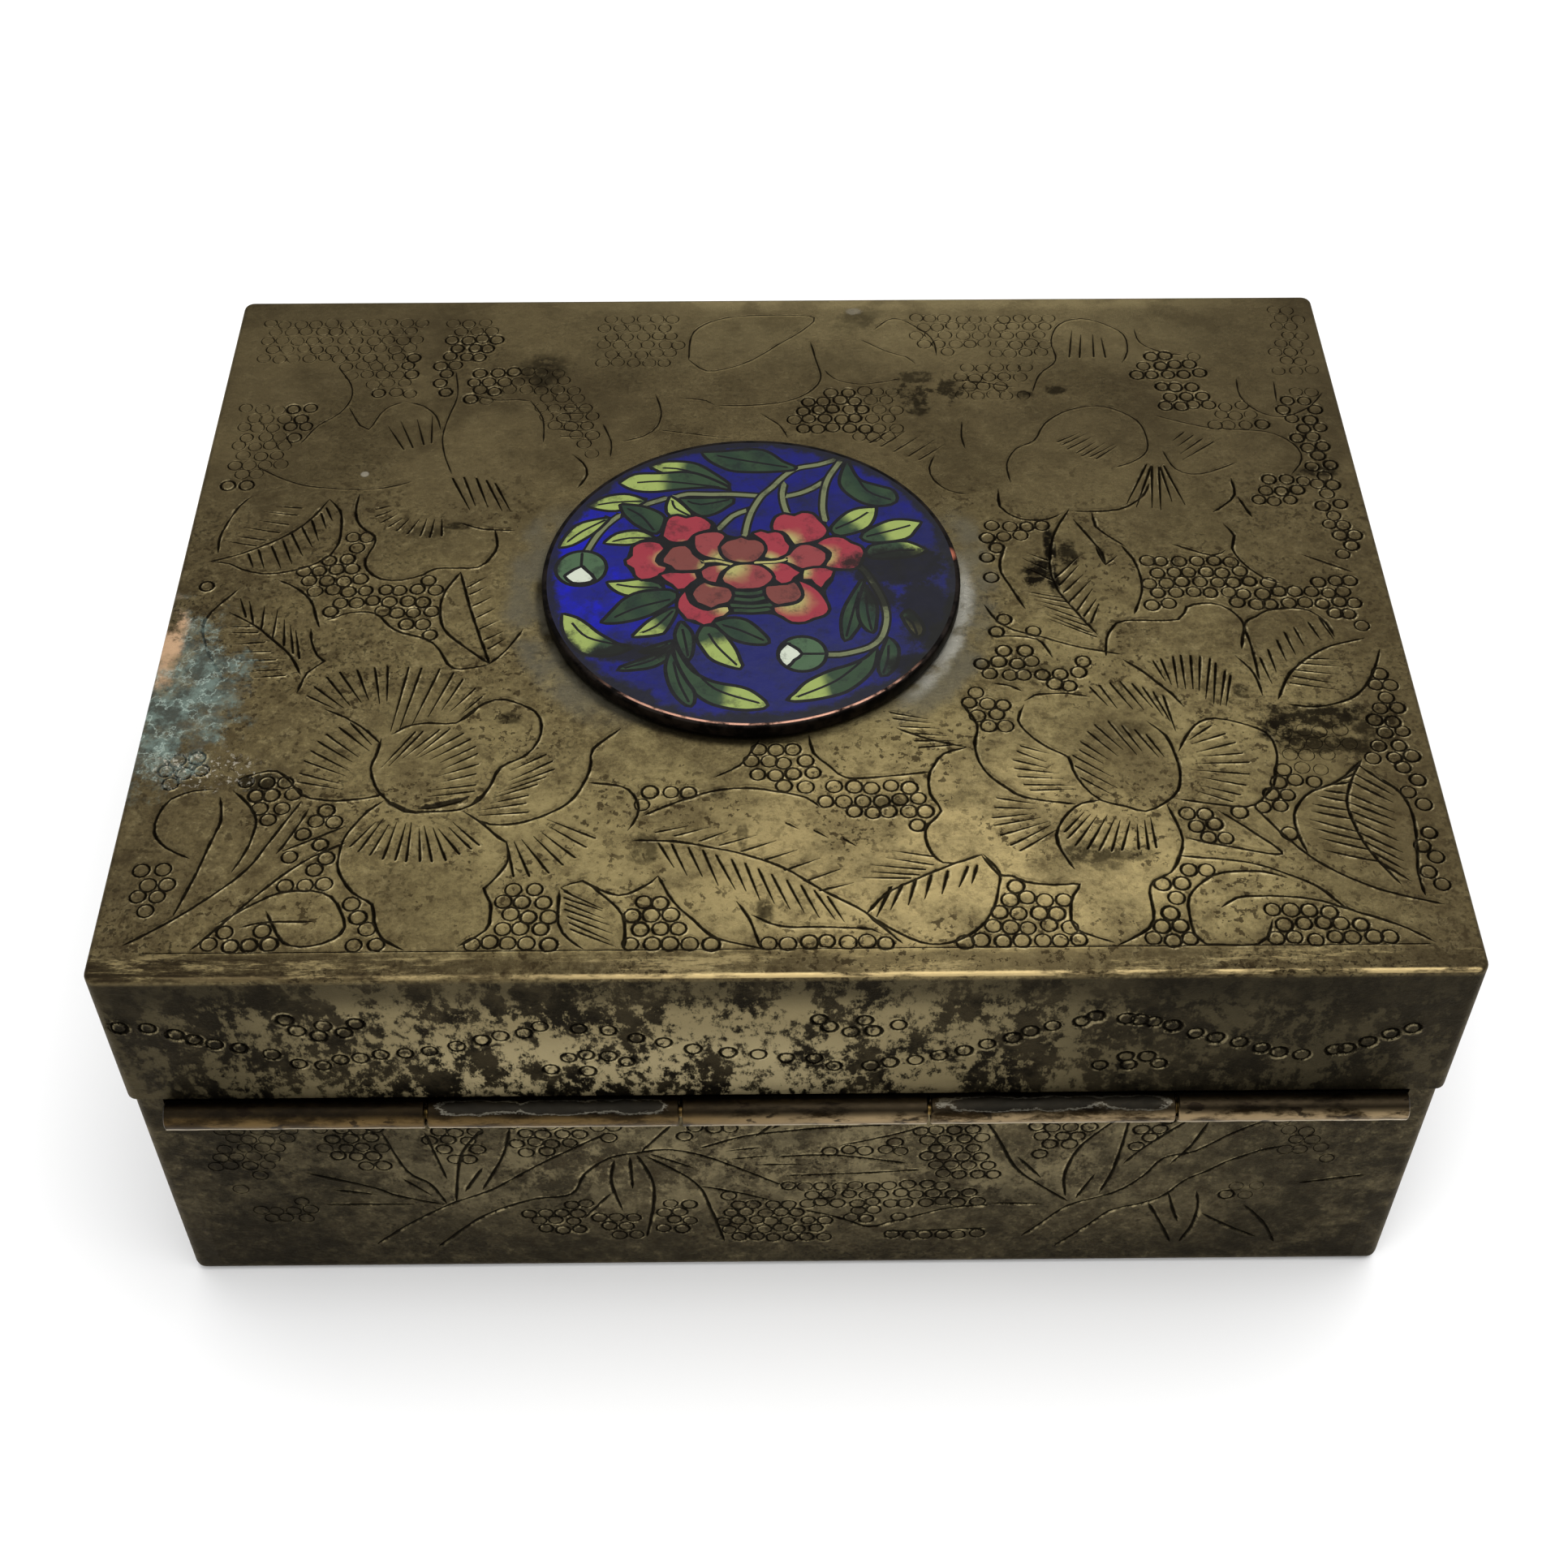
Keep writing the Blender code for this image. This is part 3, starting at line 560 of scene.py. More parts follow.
for way, along, half in WALLS:
    if way[1] == -1:
        cuts, patches = traced(HINGE_SIDE, 0.56, 0.22), HINGE_SIDE_GROUND
    else:
        stems = (-36, 0, 36) if half == 60 else (-24, 22)
        cuts = [cut for x in stems for cut in traced(bamboo(x), 0.38, 0.15)]
        patches = [(x - 8, 17, x - 3, 26, x - 12, 26, x - 15, 19) for x in stems]
        patches += [(x + 5, 7, x + 14, 6, x + 16, 11, x + 7, 11.5) for x in stems]
    marks = []
    for patch in patches:
        ringed(patch, cuts, marks)
    marks = [mark for mark in marks if abs(mark.x) < half - 4]
    chase(base, flat_face(base, way), along, (0, 0, 1), (0, 0, 0), cuts, marks,
          lambda mark: 0.55 if abs(mark.x) > 43 else 1)

base_brass, tone, mottle = brass_sheet("base_brass", linear(58, 52, 38), linear(94, 85, 63))
x, z = base_brass.x, base_brass.z
clean = base_brass.noise(230, 9.0, (1.2, 1, 0.8), 0.8, 0.3).above(0.47, 0.55) * z.above(6, 17)
stained = base_brass.noise(120, 8.0, rough=0.75, shift=0.5).above(0.46, 0.6)
tone = base_brass.layered(
    tone,
    (clean * (abs(x + 4) / 56).below(0.3, 1.1) * 0.75, linear(132, 121, 91)),
    (stained * 0.5, linear(30, 27, 20)),
)
tone = cut_marks(base_brass, tone, mottle, linear(8, 7, 5), 0.4)
# The walls grow darker, in blotches, towards both ends of the box and towards the foot, and more at the left
# end
dark_blotches = base_brass.noise(340, 7.0, rough=0.75, shift=0.15).above(0.4, 0.6) * 0.6 + 0.4
tone = base_brass.layered(
    tone,
    ((abs(x - 5) / 60).above(0.3, 0.95) * dark_blotches, linear(10, 9, 7)),
    (z.below(1, 14) * dark_blotches * 0.75, linear(10, 9, 7)),
    (x.below(-60, -34) * 0.25, linear(10, 9, 7)),
)
base_brass.send(Base_Color=tone, Roughness=mottle * 0.3 + 0.32)
base_brass.relief(mottle * 1.2 + base_brass.noise(300, 3.0) * 0.6, 0.00008)

inside_brass, tone, mottle = brass_sheet("inside_brass", linear(92, 76, 44), linear(128, 108, 66))
inside_brass.send(Base_Color=tone, Roughness=mottle * 0.2 + 0.42)
inside_brass.relief(mottle, 0.00004)
settle("base_box_brass", base, base_brass.material, inside_brass.material,
       body="box", node="base_box", slot="base_brass")

# The lid is the upper half, folded and soldered from the same sheet and open below. Four peonies
# with leaves and buds are chased on its top, with the ring punch worked into every space left,
# and a wave of ring marks runs round its sides. The top is worn bright where hands rest, with a
# painted reflection laid over that brightness.
HEIGHT = 0.0495
LID_RIM = 0.03155
LID_EDGE = 0.00045
LID_SHEET = 0.0011
PETALS = (
    (-37.8, -19.9, -38.1, -22.1, -38.4, -23.6, -37.8, -25.7, -36.7, -27.3, -34.7, -28.9, -32.6, -29,
     -29.7, -28.8, -28.1, -27.6, -27.1, -25.7, -26.4, -23.6, -24.2, -22.2, -23.1, -20.3, -22.9, -18.4,
     -23.6, -16.5, -26.5, -14.9, -28.5, -15.4, -30.8, -17.8),
    (-43.6, -16, -41.5, -17.1, -39.2, -18.9, -37.8, -20.6),
    (-36.9, -19.4, -35.7, -18.4, -33.9, -17.9, -31, -17.9, -29, -16),
    (-36.8, -26.8, -38.4, -27.3, -41, -27.6, -42.8, -27.4, -44.4, -26.8, -47, -23.9, -50.2, -24.7),
    (-29.4, -29, -27.8, -30.2, -26, -32.1, -25.1, -32.8, -24.9, -34.9, -26, -37.1, -26.8, -38.1,
     -26.1, -39.7, -26, -41.3, -26.3, -42.8, -28.6, -44.6),
    (-28.6, -29.6, -26.8, -30.6, -23.6, -30.3, -20, -28.2, -18.4, -25.2, -18, -23.1, -17.9, -21.4,
     -15.4, -18.8),
    (-18.1, -25.6, -15.8, -25.9, -14.4, -26.5, -13.5, -28.1, -13.5, -29.7, -14.3, -31.5),
    (-11.4, -36.8, -12, -37.5, -14.8, -39, -18.1, -37.3),
    (-36.8, -27.7, -38.1, -28.9, -39.2, -30.7, -39.9, -32.3, -40.1, -34.4, -39.9, -36, -38.4, -38.4,
     -36.5, -39.8, -36.1, -41.8, -35.2, -43.6, -33.1, -45),
    (-44.9, -3.9, -42.6, -2.8, -40.2, -3, -38.6, -4.8, -37.3, -5.7, -34.7, -6.7, -33.4, -8.2,
     -31.8, -10.7, -28.4, -10.2),
    (-46.3, -5.1, -46, -6.9, -45.2, -8.8, -44.4, -9.6, -45.9, -11.1, -46.5, -13.8),
    (17, -16, 18.2, -18.6, 17.8, -21, 18.1, -23.4, 19, -25.2, 20.5, -26.7, 22, -27.8, 26.5, -28.7),
    (22.8, -16.1, 22.1, -18.1, 23.2, -20.2, 25, -21.9, 26.4, -22.8, 26.7, -24.4, 27.5, -26.5,
     28.9, -28.2, 31.1, -29, 32.9, -29.6, 34.7, -28.6, 36.1, -27.1, 36.6, -24.7, 36.4, -22.6,
     35.8, -20.2, 34.3, -18.4),
    (36.8, -22.2, 37.6, -20.5, 38.7, -18.9, 40, -18.1, 41.8, -18.2, 45.3, -19.9, 45.9, -22.8,
     45.4, -24.7, 45, -26.5, 42.9, -28.9, 40.5, -29, 35.8, -28.1),
    (28.9, -28.2, 27.1, -28.6, 25.8, -29.7, 24.7, -31.5, 24.5, -33.4, 25.7, -36.4),
    (34.9, -28.9, 35.5, -31, 35.8, -33.1, 35.3, -34.9, 34.3, -36.8, 32.6, -37.8, 32.1, -39.2,
     32.2, -41.3, 31.6, -43.1, 28.7, -45),
    (17.5, -34.6, 19, -37, 20.1, -37.1, 21.3, -37.8, 23.7, -38.2, 26, -38.1, 25.3, -39.4,
     24.9, -41.3, 25.3, -43.2, 28.4, -44.7),
    (20, -13.2, 21.6, -13.5, 22.8, -14.3), (22.9, -15.6, 23.9, -14.8, 27.1, -14.6, 29.2, -15.1),
    (32.9, -10.1, 34.7, -11.8, 35.8, -13.2, 37.1, -14.8, 38, -16.5),
    (31.3, -9.6, 31.6, -7.2, 32.4, -5.6, 33.7, -4.7, 38.9, -4.6, 40, -2.8, 42.4, -2.3, 44.2, -3.2,
     45.3, -5.3, 44.9, -7.2, 44.6, -8.8),
    (43.8, -9.6, 45, -11.4, 45.5, -13, 45.7, -15.1),
    (-43.8, 14.9, -43.9, 12, -43.1, 9.9, -41.5, 8.3, -41.5, 6.8, -42.1, 4.9, -41.7, 3.3, -40.2, 2,
     -38.1, 1.8, -36, 2.6, -34.7, 3.5, -30.7, 3.6, -29.4, 5.2, -28.9, 6.8, -29.3, 9.1),
    (-33.1, 10.4, -30.7, 9.4, -27.3, 9.1),
    (22.6, 14.9, 22.6, 12.3, 23.9, 10.8, 25.3, 10.2, 27.4, 10.3, 28.9, 11.2),
    (29.7, 11.5, 33.7, 11.5, 35.8, 12.2, 37.6, 13.9, 38.4, 15.7), (32, 11.2, 32.2, 9.1, 32.9, 8.1, 35, 6),
    (45.3, 9.4, 46.2, 7.6, 45.7, 5.7, 46.6, 3.3, 48.4, 1.2, 50.3, 0.4),
    (47.1, 16.5, 47.1, 13.9, 45.8, 12.3, 44.5, 11.2),
    (47.4, 13.6, 48.4, 10.4), (52.6, 4.7, 57.4, 2), (45, 5.4, 43.4, 4.7, 39.5, 6.5),
    (-22, 21, -20.8, 19.6, -20.3, 17.8, -21.2, 15.6),
)
FAR_PETALS = (
    (-48.5, 36, -46.8, 33, -46.5, 30.5, -47.5, 28, -49.5, 26, -51, 23),
    (-46.5, 29, -45, 26, -44, 25.3, -43, 28, -42, 29.3, -40.5, 30),
    (-35.5, 35, -35, 31, -35.7, 27, -36, 24, -35.5, 21, -34.5, 18),
    (-27, 30, -25.5, 27, -25.2, 23),
    (-13.5, 31, -12.8, 28, -13.2, 25.5, -14.5, 24, -17, 23), (-19, 26, -18, 23, -18, 20.5),
    (-13, 25, -8, 24, -5, 23.5),
    (-10, 37, -9.5, 42, -6, 44.5, 0, 45, 4, 44.5, 2.5, 42, 0, 39.7, -2.5, 37.3, -5, 35.7, -8, 35, -10, 37),
    (-7, 29, -3, 29, 0.5, 29.6, 3, 31, 4.5, 33.5, 4, 37, 3.5, 40), (5, 35, 6, 33.5, 9, 32.5, 13.5, 33.5),
    (9, 40.5, 12, 38.2, 14, 37.3, 15, 36), (10.5, 42, 13, 44.3, 16, 42, 17.2, 40, 17.4, 37.5),
    (-2, 27.5, 0, 25.5, 0.8, 23.4),
    (24, 16, 23.8, 19, 25, 21.5, 27, 22.8, 28.3, 25.5, 30.5, 27.5, 33.5, 28.5, 36, 28, 38.3, 26,
     39, 23.5, 38.8, 21, 37.2, 19.3, 35, 18.3),
    (27.5, 31, 28.5, 34, 30.5, 36.5, 30.3, 40, 31.5, 43, 34, 44, 36.5, 43, 38.5, 41, 38.6, 38, 37.8, 36),
    (39.8, 42, 40.2, 39.5, 42.5, 37.8, 45, 37.3),
    (40, 27, 45, 25, 48, 24.5, 52, 24, 54.5, 22, 55, 19.5, 53.5, 17),
    (40.5, 21, 41.5, 18, 44, 17.2, 48, 19), (50, 33, 50, 30, 51.5, 27.5, 54, 26.5, 57, 28, 59, 30.5),
    (54, 32.5, 53.8, 29),
    (-55, 19.3, -52.5, 17.6, -50, 16.4, -47.5, 15.9, -44, 15.6, -41, 15.9, -38.5, 16.8),
    (-40.5, 30, -38.5, 29.2, -37, 27.5, -36.3, 25.2),
    (-33, 31, -31, 30.2, -28.5, 30.2, -27, 30), (16.3, 20.5, 15.6, 18.5, 16, 16.5, 17.5, 14.8, 19.5, 14.2),
    (19.5, 26, 19.3, 23.5, 19.6, 21.5), (19.5, 33.2, 22.5, 32.6, 25.5, 31.8), (-11, 30.3, -8, 29.9, -7, 29),
)
STEMS = (
    (-57.6, -44.2, -53.9, -41.5, -50.5, -38.4, -48.1, -35.7, -46.7, -32.8, -44.3, -27.6),
    (-45.7, -33.9, -44.6, -31.5, -43.5, -28.6),
    (-51.7, -44.8, -49.7, -42.3, -47.8, -39.9, -45.2, -36.8, -42.6, -34.4, -39.7, -32.7),
    (-45.2, -33.6, -39.9, -30.7),
    (-49.7, -41.8, -47, -39.7, -44.7, -38.4, -42, -38.2, -40.2, -38.9, -39.2, -40.5, -38.6, -42.3,
     -39.4, -43.6, -41.3, -44.4, -43.1, -44.3, -44.2, -43.4, -45.7, -40.5),
    (-47.8, -42.3, -45.5, -41.7, -41.5, -41.7),
    (35.1, -34.9, 40, -35.5, 42.4, -36.1, 44.7, -37.2, 47.1, -38.6, 49.2, -41, 51.6, -42.1,
     54.2, -43.4, 56.3, -44.9),
    (42.9, -29.2, 44.7, -32.1, 46.8, -34.9, 48.9, -36.8, 51.6, -38.5, 54.2, -39.6, 57.9, -40.7),
    (39.5, -29.6, 42.4, -32.3, 44.5, -34.8, 40, -33.9, 36.1, -32.8),
    (49.5, -41.3, 47.1, -40.2, 44.2, -39.7, 41.8, -39.6, 39.7, -39.8, 38.2, -40.9),
    (44.5, -37.6, 42.4, -36.8, 38.9, -36.9, 37.1, -37.8, 35.5, -39.7, 35.3, -41.8, 35.5, -43.9,
     36.3, -44.9, 40.8, -45, 41.8, -44.2, 42.5, -42.3),
    (20, -2.4, 21.1, -4.6, 22.6, -5.9, 25.3, -6.9, 28.4, -8.2, 31.3, -9, 32.9, -9.4),
    (20.5, -6.7, 23.9, -6.9, 25.3, -7.7, 26.1, -9.8),
    (-2.3, -20.2, -3.1, -21.8, -4.2, -23.6, -6.6, -25.1),
    (2.3, -19.9, 2.7, -22.1, 4, -23.6, 5.6, -25.2, 8.2, -25.2, 13.3, -24.6),
    (17.1, -21.5, 13.7, -20.5, 10.6, -19),
    (17.1, -21.5, 14.8, -22.3, 13.8, -23.8, 13.3, -25.1, 13.3, -27.3, 14.2, -29.4, 12.9, -31,
     12.6, -32.6, 13.1, -34.4, 14, -35.5, 15, -35.6, 17.5, -34.6),
    (-4.4, -39.8, -3.3, -41.7, -2.3, -45), (-3.1, -41.3, -0.5, -42.6, 3.2, -42.7, 7.4, -43, 8.4, -43.6),
)
# Each leaf: its rib, its two edges, and how many veins run to each
LEAVES = (
    ((-51.8, -27.1, -51.3, -29.9, -51.8, -32.3, -52.6, -36.3, -53.8, -41),
     (-52.3, -26.1, -54.4, -26.3, -56.3, -27.3, -57.1, -29.2, -57.1, -31.3, -55.7, -33.1, -53.4, -34.4),
     (-50.7, -26.3, -49.2, -27.8, -48.1, -29.9, -48.4, -33.1, -49.4, -36), (0, 0)),
    ((-13.9, -32.6, -10, -32.8, -6.8, -33.5, -3.7, -34.4, 0, -36.1, 3.2, -38.6, 6.9, -41.1, 10, -44.6),
     (-13, -29.7, -10, -28.1, -6.8, -26.8, -3.7, -26.4, -1, -26.8, 1.9, -27.6, 3.2, -28.9),
     (-11.4, -36.8, -10, -39.7, -8.1, -41.9, -6.2, -43.8, -2.3, -45), (0, 0)),
    ((7, -41.3, 9.9, -44.4),
     (7, -41.3, 8.7, -39.1, 10.8, -37.8, 13.4, -36.4, 15.8, -35.3, 17.7, -34.6),
     (7, -41.3, 10, -43.6, 12.4, -44.7, 14.8, -44.3, 16.9, -42.8, 18.2, -40.7, 18.8, -38.4, 19, -36.6,
      17.7, -34.6), (0, 0)),
    ((53.7, -23.4, 52.4, -25.7, 51.4, -28.6, 51.6, -31.3, 52.4, -34.4, 54.5, -38.4),
     (53.7, -23.4, 51.1, -26, 48.4, -27.3, 47.1, -28.6, 46.3, -30.2, 46.3, -32.3, 46.8, -34.7),
     (55, -25.7, 56.6, -27.8, 57.1, -30.5, 56.8, -33.9, 56.3, -37.1, 56.4, -39.7), (11, 11)),
    ((-57.8, 4.7, -55.3, 5.6, -53.1, 6.8, -50.5, 8.6, -48.6, 10.7, -47.3, 13.1, -46.8, 14.1),
     (-57.1, 6, -57.3, 8.3, -56.8, 10.7, -56, 13.1, -54.9, 14.7),
     (-57.5, 4.7, -55.7, 4.4, -54.4, 3.6, -52.3, 2.9, -50, 3.1, -47.8, 3.9, -46, 5.2, -45.1, 7.3,
      -45.1, 9.9, -45.5, 12.3, -46.8, 14.1), (0, 0)),
    ((-46.5, -11.4, -47.8, -8.8, -49.7, -6.7, -51.8, -4.6, -54.6, -2.7),
     (-53.9, -11.9, -56.3, -7.2, -56.8, -3.5, -54.2, 0.7),
     (-45.5, -4.9, -46, -3.5, -46.8, -1.1, -48.4, 0.7, -50.5, 2), (0, 0)),
    ((-28.4, -10.1, -29.6, -6.5, -31, -2, -32.3, 2.9),
     (-28.4, -10.1, -30.7, -8, -32.8, -5.9, -33.6, -4.3, -33.9, -1.9, -33.6, 0.2, -32.3, 2.9),
     (-28.4, -10.1, -26.8, -8, -25.5, -5.3), (0, 0)),
    ((30.8, -6.7, 28.9, -3.2, 27.6, -0.6, 27, 2, 27.1, 4.7, 27.9, 8.3, 29.7, 11.8),
     (24, -3, 22.8, 0.2, 22, 2.3, 22, 4.1, 22.6, 6),
     (34.7, -3.8, 35.8, -0.6, 35.9, 1.8, 35.5, 4.1, 34.5, 6.2), (0, 0)),
    ((32.6, 3.3, 32.4, 5.2, 31.3, 7.6, 30, 10.2), (32.6, 3.3, 33.2, 4, 33.9, 4.7),
     (32.6, 3.3, 32.2, 4.6, 31.9, 6), (0, 0)),
    ((47.1, -15.6, 48.7, -12.2, 51.1, -9.8, 53.4, -8.4, 56.8, -7.4),
     (45.7, -13, 45.6, -8.5, 45.3, -5.3, 46.6, -4.3, 47.9, -3.4, 50.3, -3.1, 52.1, -3.5, 53.4, -5.1,
      53.9, -7.2),
     (47.8, -16.2, 50.6, -16.6, 53.9, -15.6, 55.8, -13.8, 57.1, -11.4, 58, -9), (0, 0)),
    ((-20, -38.1, -18.9, -38.9), (-20.1, -38.4, -20, -42.1, -18.9, -43.9, -17.6, -45),
     (-20, -38.1, -18.1, -37.3, -16.6, -38.6, -14.8, -40.5, -14.2, -42.1, -14.1, -44.9), (0, 0)),
)
# Hatching: the line the strokes' feet stand on, the line their tips reach, and their count
COMBS = (
    ((-40.9, -17.8, -43.25, -19.4, -44.5, -22.4, -44.9, -25.2),
     (-38.4, -21, -39.4, -22.5, -40.1, -24, -40.7, -26.3), 8),
    ((-36.2, -10.5, -33.5, -10.8, -31.1, -11.8, -28.8, -14.4),
     (-37, -18.8, -34.7, -17.7, -32.3, -16.7, -30.5, -16.8), 7),
    ((-45.5, -14.3, -44.3, -12, -42.1, -11, -38.2, -10.4),
     (-42.6, -15.9, -41, -15.9, -39.9, -15.2, -37.8, -15.2), 7),
    ((-34.8, -19.1, -31.2, -18.8, -29, -20.6, -28.5, -23, -28.6, -26.5),
     (-37.4, -23.6, -34.1, -22.4, -32, -23.6, -32.1, -25.2, -32.8, -27.3), 12),
    ((-39.3, -33.2, -36.6, -34.5, -33.5, -35, -30.5, -34.8, -27.5, -33),
     (-37, -30, -35, -30.4, -33, -30.5, -31.5, -30.9, -30.3, -30.4), 12),
    ((-22.2, -22, -21.3, -23.7, -22.8, -25.6, -23.6, -27.5, -23.5, -29.25),
     (-25.6, -24.2, -25.4, -25.7, -26.2, -26.8, -28.3, -29.5), 8),
    ((-24.2, -36.7, -21.6, -36.6, -19.1, -34.8, -17.2, -32.3),
     (-25.3, -32.4, -23.3, -32.3, -21.8, -31.2, -21.5, -30.2), 7),
    ((-19.7, -38.6, -19.4, -40.5, -18.8, -42.7), (-16.2, -40.4, -15.5, -42, -15.1, -44.7), 7),
    ((-11.5, -33, -8, -33.7, -4.1, -35.3, 0.1, -37.4, 3.6, -39.3),
     (-9.8, -36.2, -6, -37.8, -2.4, -39.4, 1.5, -41.2, 5.2, -42.5), 13),
    ((-11.7, -31.8, -7.9, -32.8, -3.8, -34.2, 0, -36.3, 2.9, -38.6),
     (-9, -30.9, -4.4, -31.6, 0, -33, 3.9, -35.5, 6.1, -37.8), 9),
    ((13.3, -34.8, 13.2, -35.8, 11, -37.3), (9, -34, 7.9, -35.5, 6.5, -37.2), 5),
    ((22.2, -21.4, 21.4, -23, 21.6, -25.2, 22.6, -27),
     (24.8, -22.5, 24.6, -24.1, 25.8, -25.6, 26.9, -26.8), 7),
    ((19.5, -27.9, 18.8, -30, 19.4, -32.4, 21, -34.3),
     (22.9, -28.6, 22.8, -29.8, 23.8, -30.5, 24.4, -31.8), 7),
    ((25.2, -32, 26, -33.75, 29.4, -34.3, 33.4, -34),
     (27.4, -29.5, 29.6, -30.2, 31.7, -30.8, 33.1, -30.4), 10),
    ((40.3, -19, 42.1, -20.9, 43.1, -23.9, 42.4, -26.8, 40.8, -28.6),
     (37.8, -20.8, 38.5, -22.4, 37.6, -23.8, 38.1, -25.6, 37.9, -27.1), 9),
    ((26.8, -22.7, 27.3, -25.4), (30.6, -25.6, 30.4, -27.9), 3),
    ((27.5, -22, 28.3, -19.9, 30.4, -18.4, 34, -20), (29.9, -23.9, 31.5, -22.4, 33.6, -22.7, 35.3, -22.9), 8),
    ((29.4, -13.75, 32, -13.2, 34.2, -13.75, 36.1, -15),
     (30.9, -16.7, 33.3, -16.6, 35.3, -17, 36.9, -19.6), 8),
    ((35.8, -10.4, 38.5, -9.6, 41.1, -10, 43, -12.4),
     (36.7, -13.2, 38.5, -14.4, 40.6, -15.8, 41.9, -16.9), 10),
    ((10, -17, 12.6, -21.4), (13.5, -17.8, 16.4, -21.3), 6),
    ((-28.8, -8, -31.4, 0.8), (-26.9, -6.6, -29.8, 2), 7),
    ((0, -30.7, 5.3, -32.7), (1.5, -31.6, 6.2, -33.4), 3),
    ((-53.3, 7, -51, 9.4, -49.4, 12.7), (-56.8, 7.8, -55.1, 9.9, -52.5, 13.1), 6),
    ((-54, 5.9, -50.8, 7.8, -48.6, 10.4, -46.9, 12.8), (-53.3, 3.8, -49.6, 3.7, -47.4, 7.3, -46.1, 10.5), 9),
    ((-46.8, -9.2, -49.3, -6.8, -53, -3.4), (-47.8, -5.5, -50, -2.3, -53.8, -0.6), 7),
    ((-52, -4.8, -50.1, -7.7, -47.9, -11.5), (-54.6, -4.6, -53.8, -7.7, -51.3, -11.7), 7),
    ((-41.9, 12.4, -41.3, 10.6, -38.9, 9, -36.2, 8.2, -34.7, 8.2),
     (-40, 13.2, -39.2, 11.6, -38, 10.9, -36, 11.1, -34.9, 11.2), 9),
    ((-34.3, 17.3, -31.8, 17.4, -29.8, 16.4), (-32.2, 12.3, -29.8, 12.3, -28, 12.2), 5),
    ((30.6, -7, 29.4, -4.6, 27.9, -1.4), (26.2, -4.4, 25.2, -2.2, 23.8, -0.4), 7),
    ((27.4, 1, 26.8, 4), (24, 3.2, 24.6, 5.4), 3),
    ((30.2, -5, 28.5, -2.3, 27.4, 1.4), (31.4, -2.4, 30.6, 1.4, 29.9, 4.6), 7),
    ((46.2, -10, 48.3, -7.4, 50, -6, 52.8, -4.6), (46.8, -13.4, 48.8, -10.9, 50.4, -9, 53.8, -7.3), 7),
    ((50.4, -10, 49.4, -11.4, 48.6, -13.4), (54, -10.4, 54, -12, 53, -14.4), 5),
    ((38.4, 18.8, 39.4, 18.4, 40.4, 18.6), (35.6, 12, 38.4, 11.6, 40.2, 12, 41.6, 12.6), 6),
)
FAR_COMBS = (
    ((29.5, 22.5, 31, 20.8, 33.2, 19.8), (32.4, 24.4, 34.2, 22.8, 35.8, 21.8), 7),
    ((32, 37, 36, 37), (32.8, 41.5, 36, 41), 4),
    ((-40, 22, -37, 23), (-42, 26, -37.5, 27.5), 4), ((43, 24, 46, 22.4), (41.6, 22.4, 42.6, 19.6), 4),
    ((-23.6, 29, -23.4, 24), (-20.4, 28.6, -20.6, 24), 5),
    ((9.5, 22.6, 14.6, 19.8), (12.4, 25.2, 17.6, 22.4), 5),
)
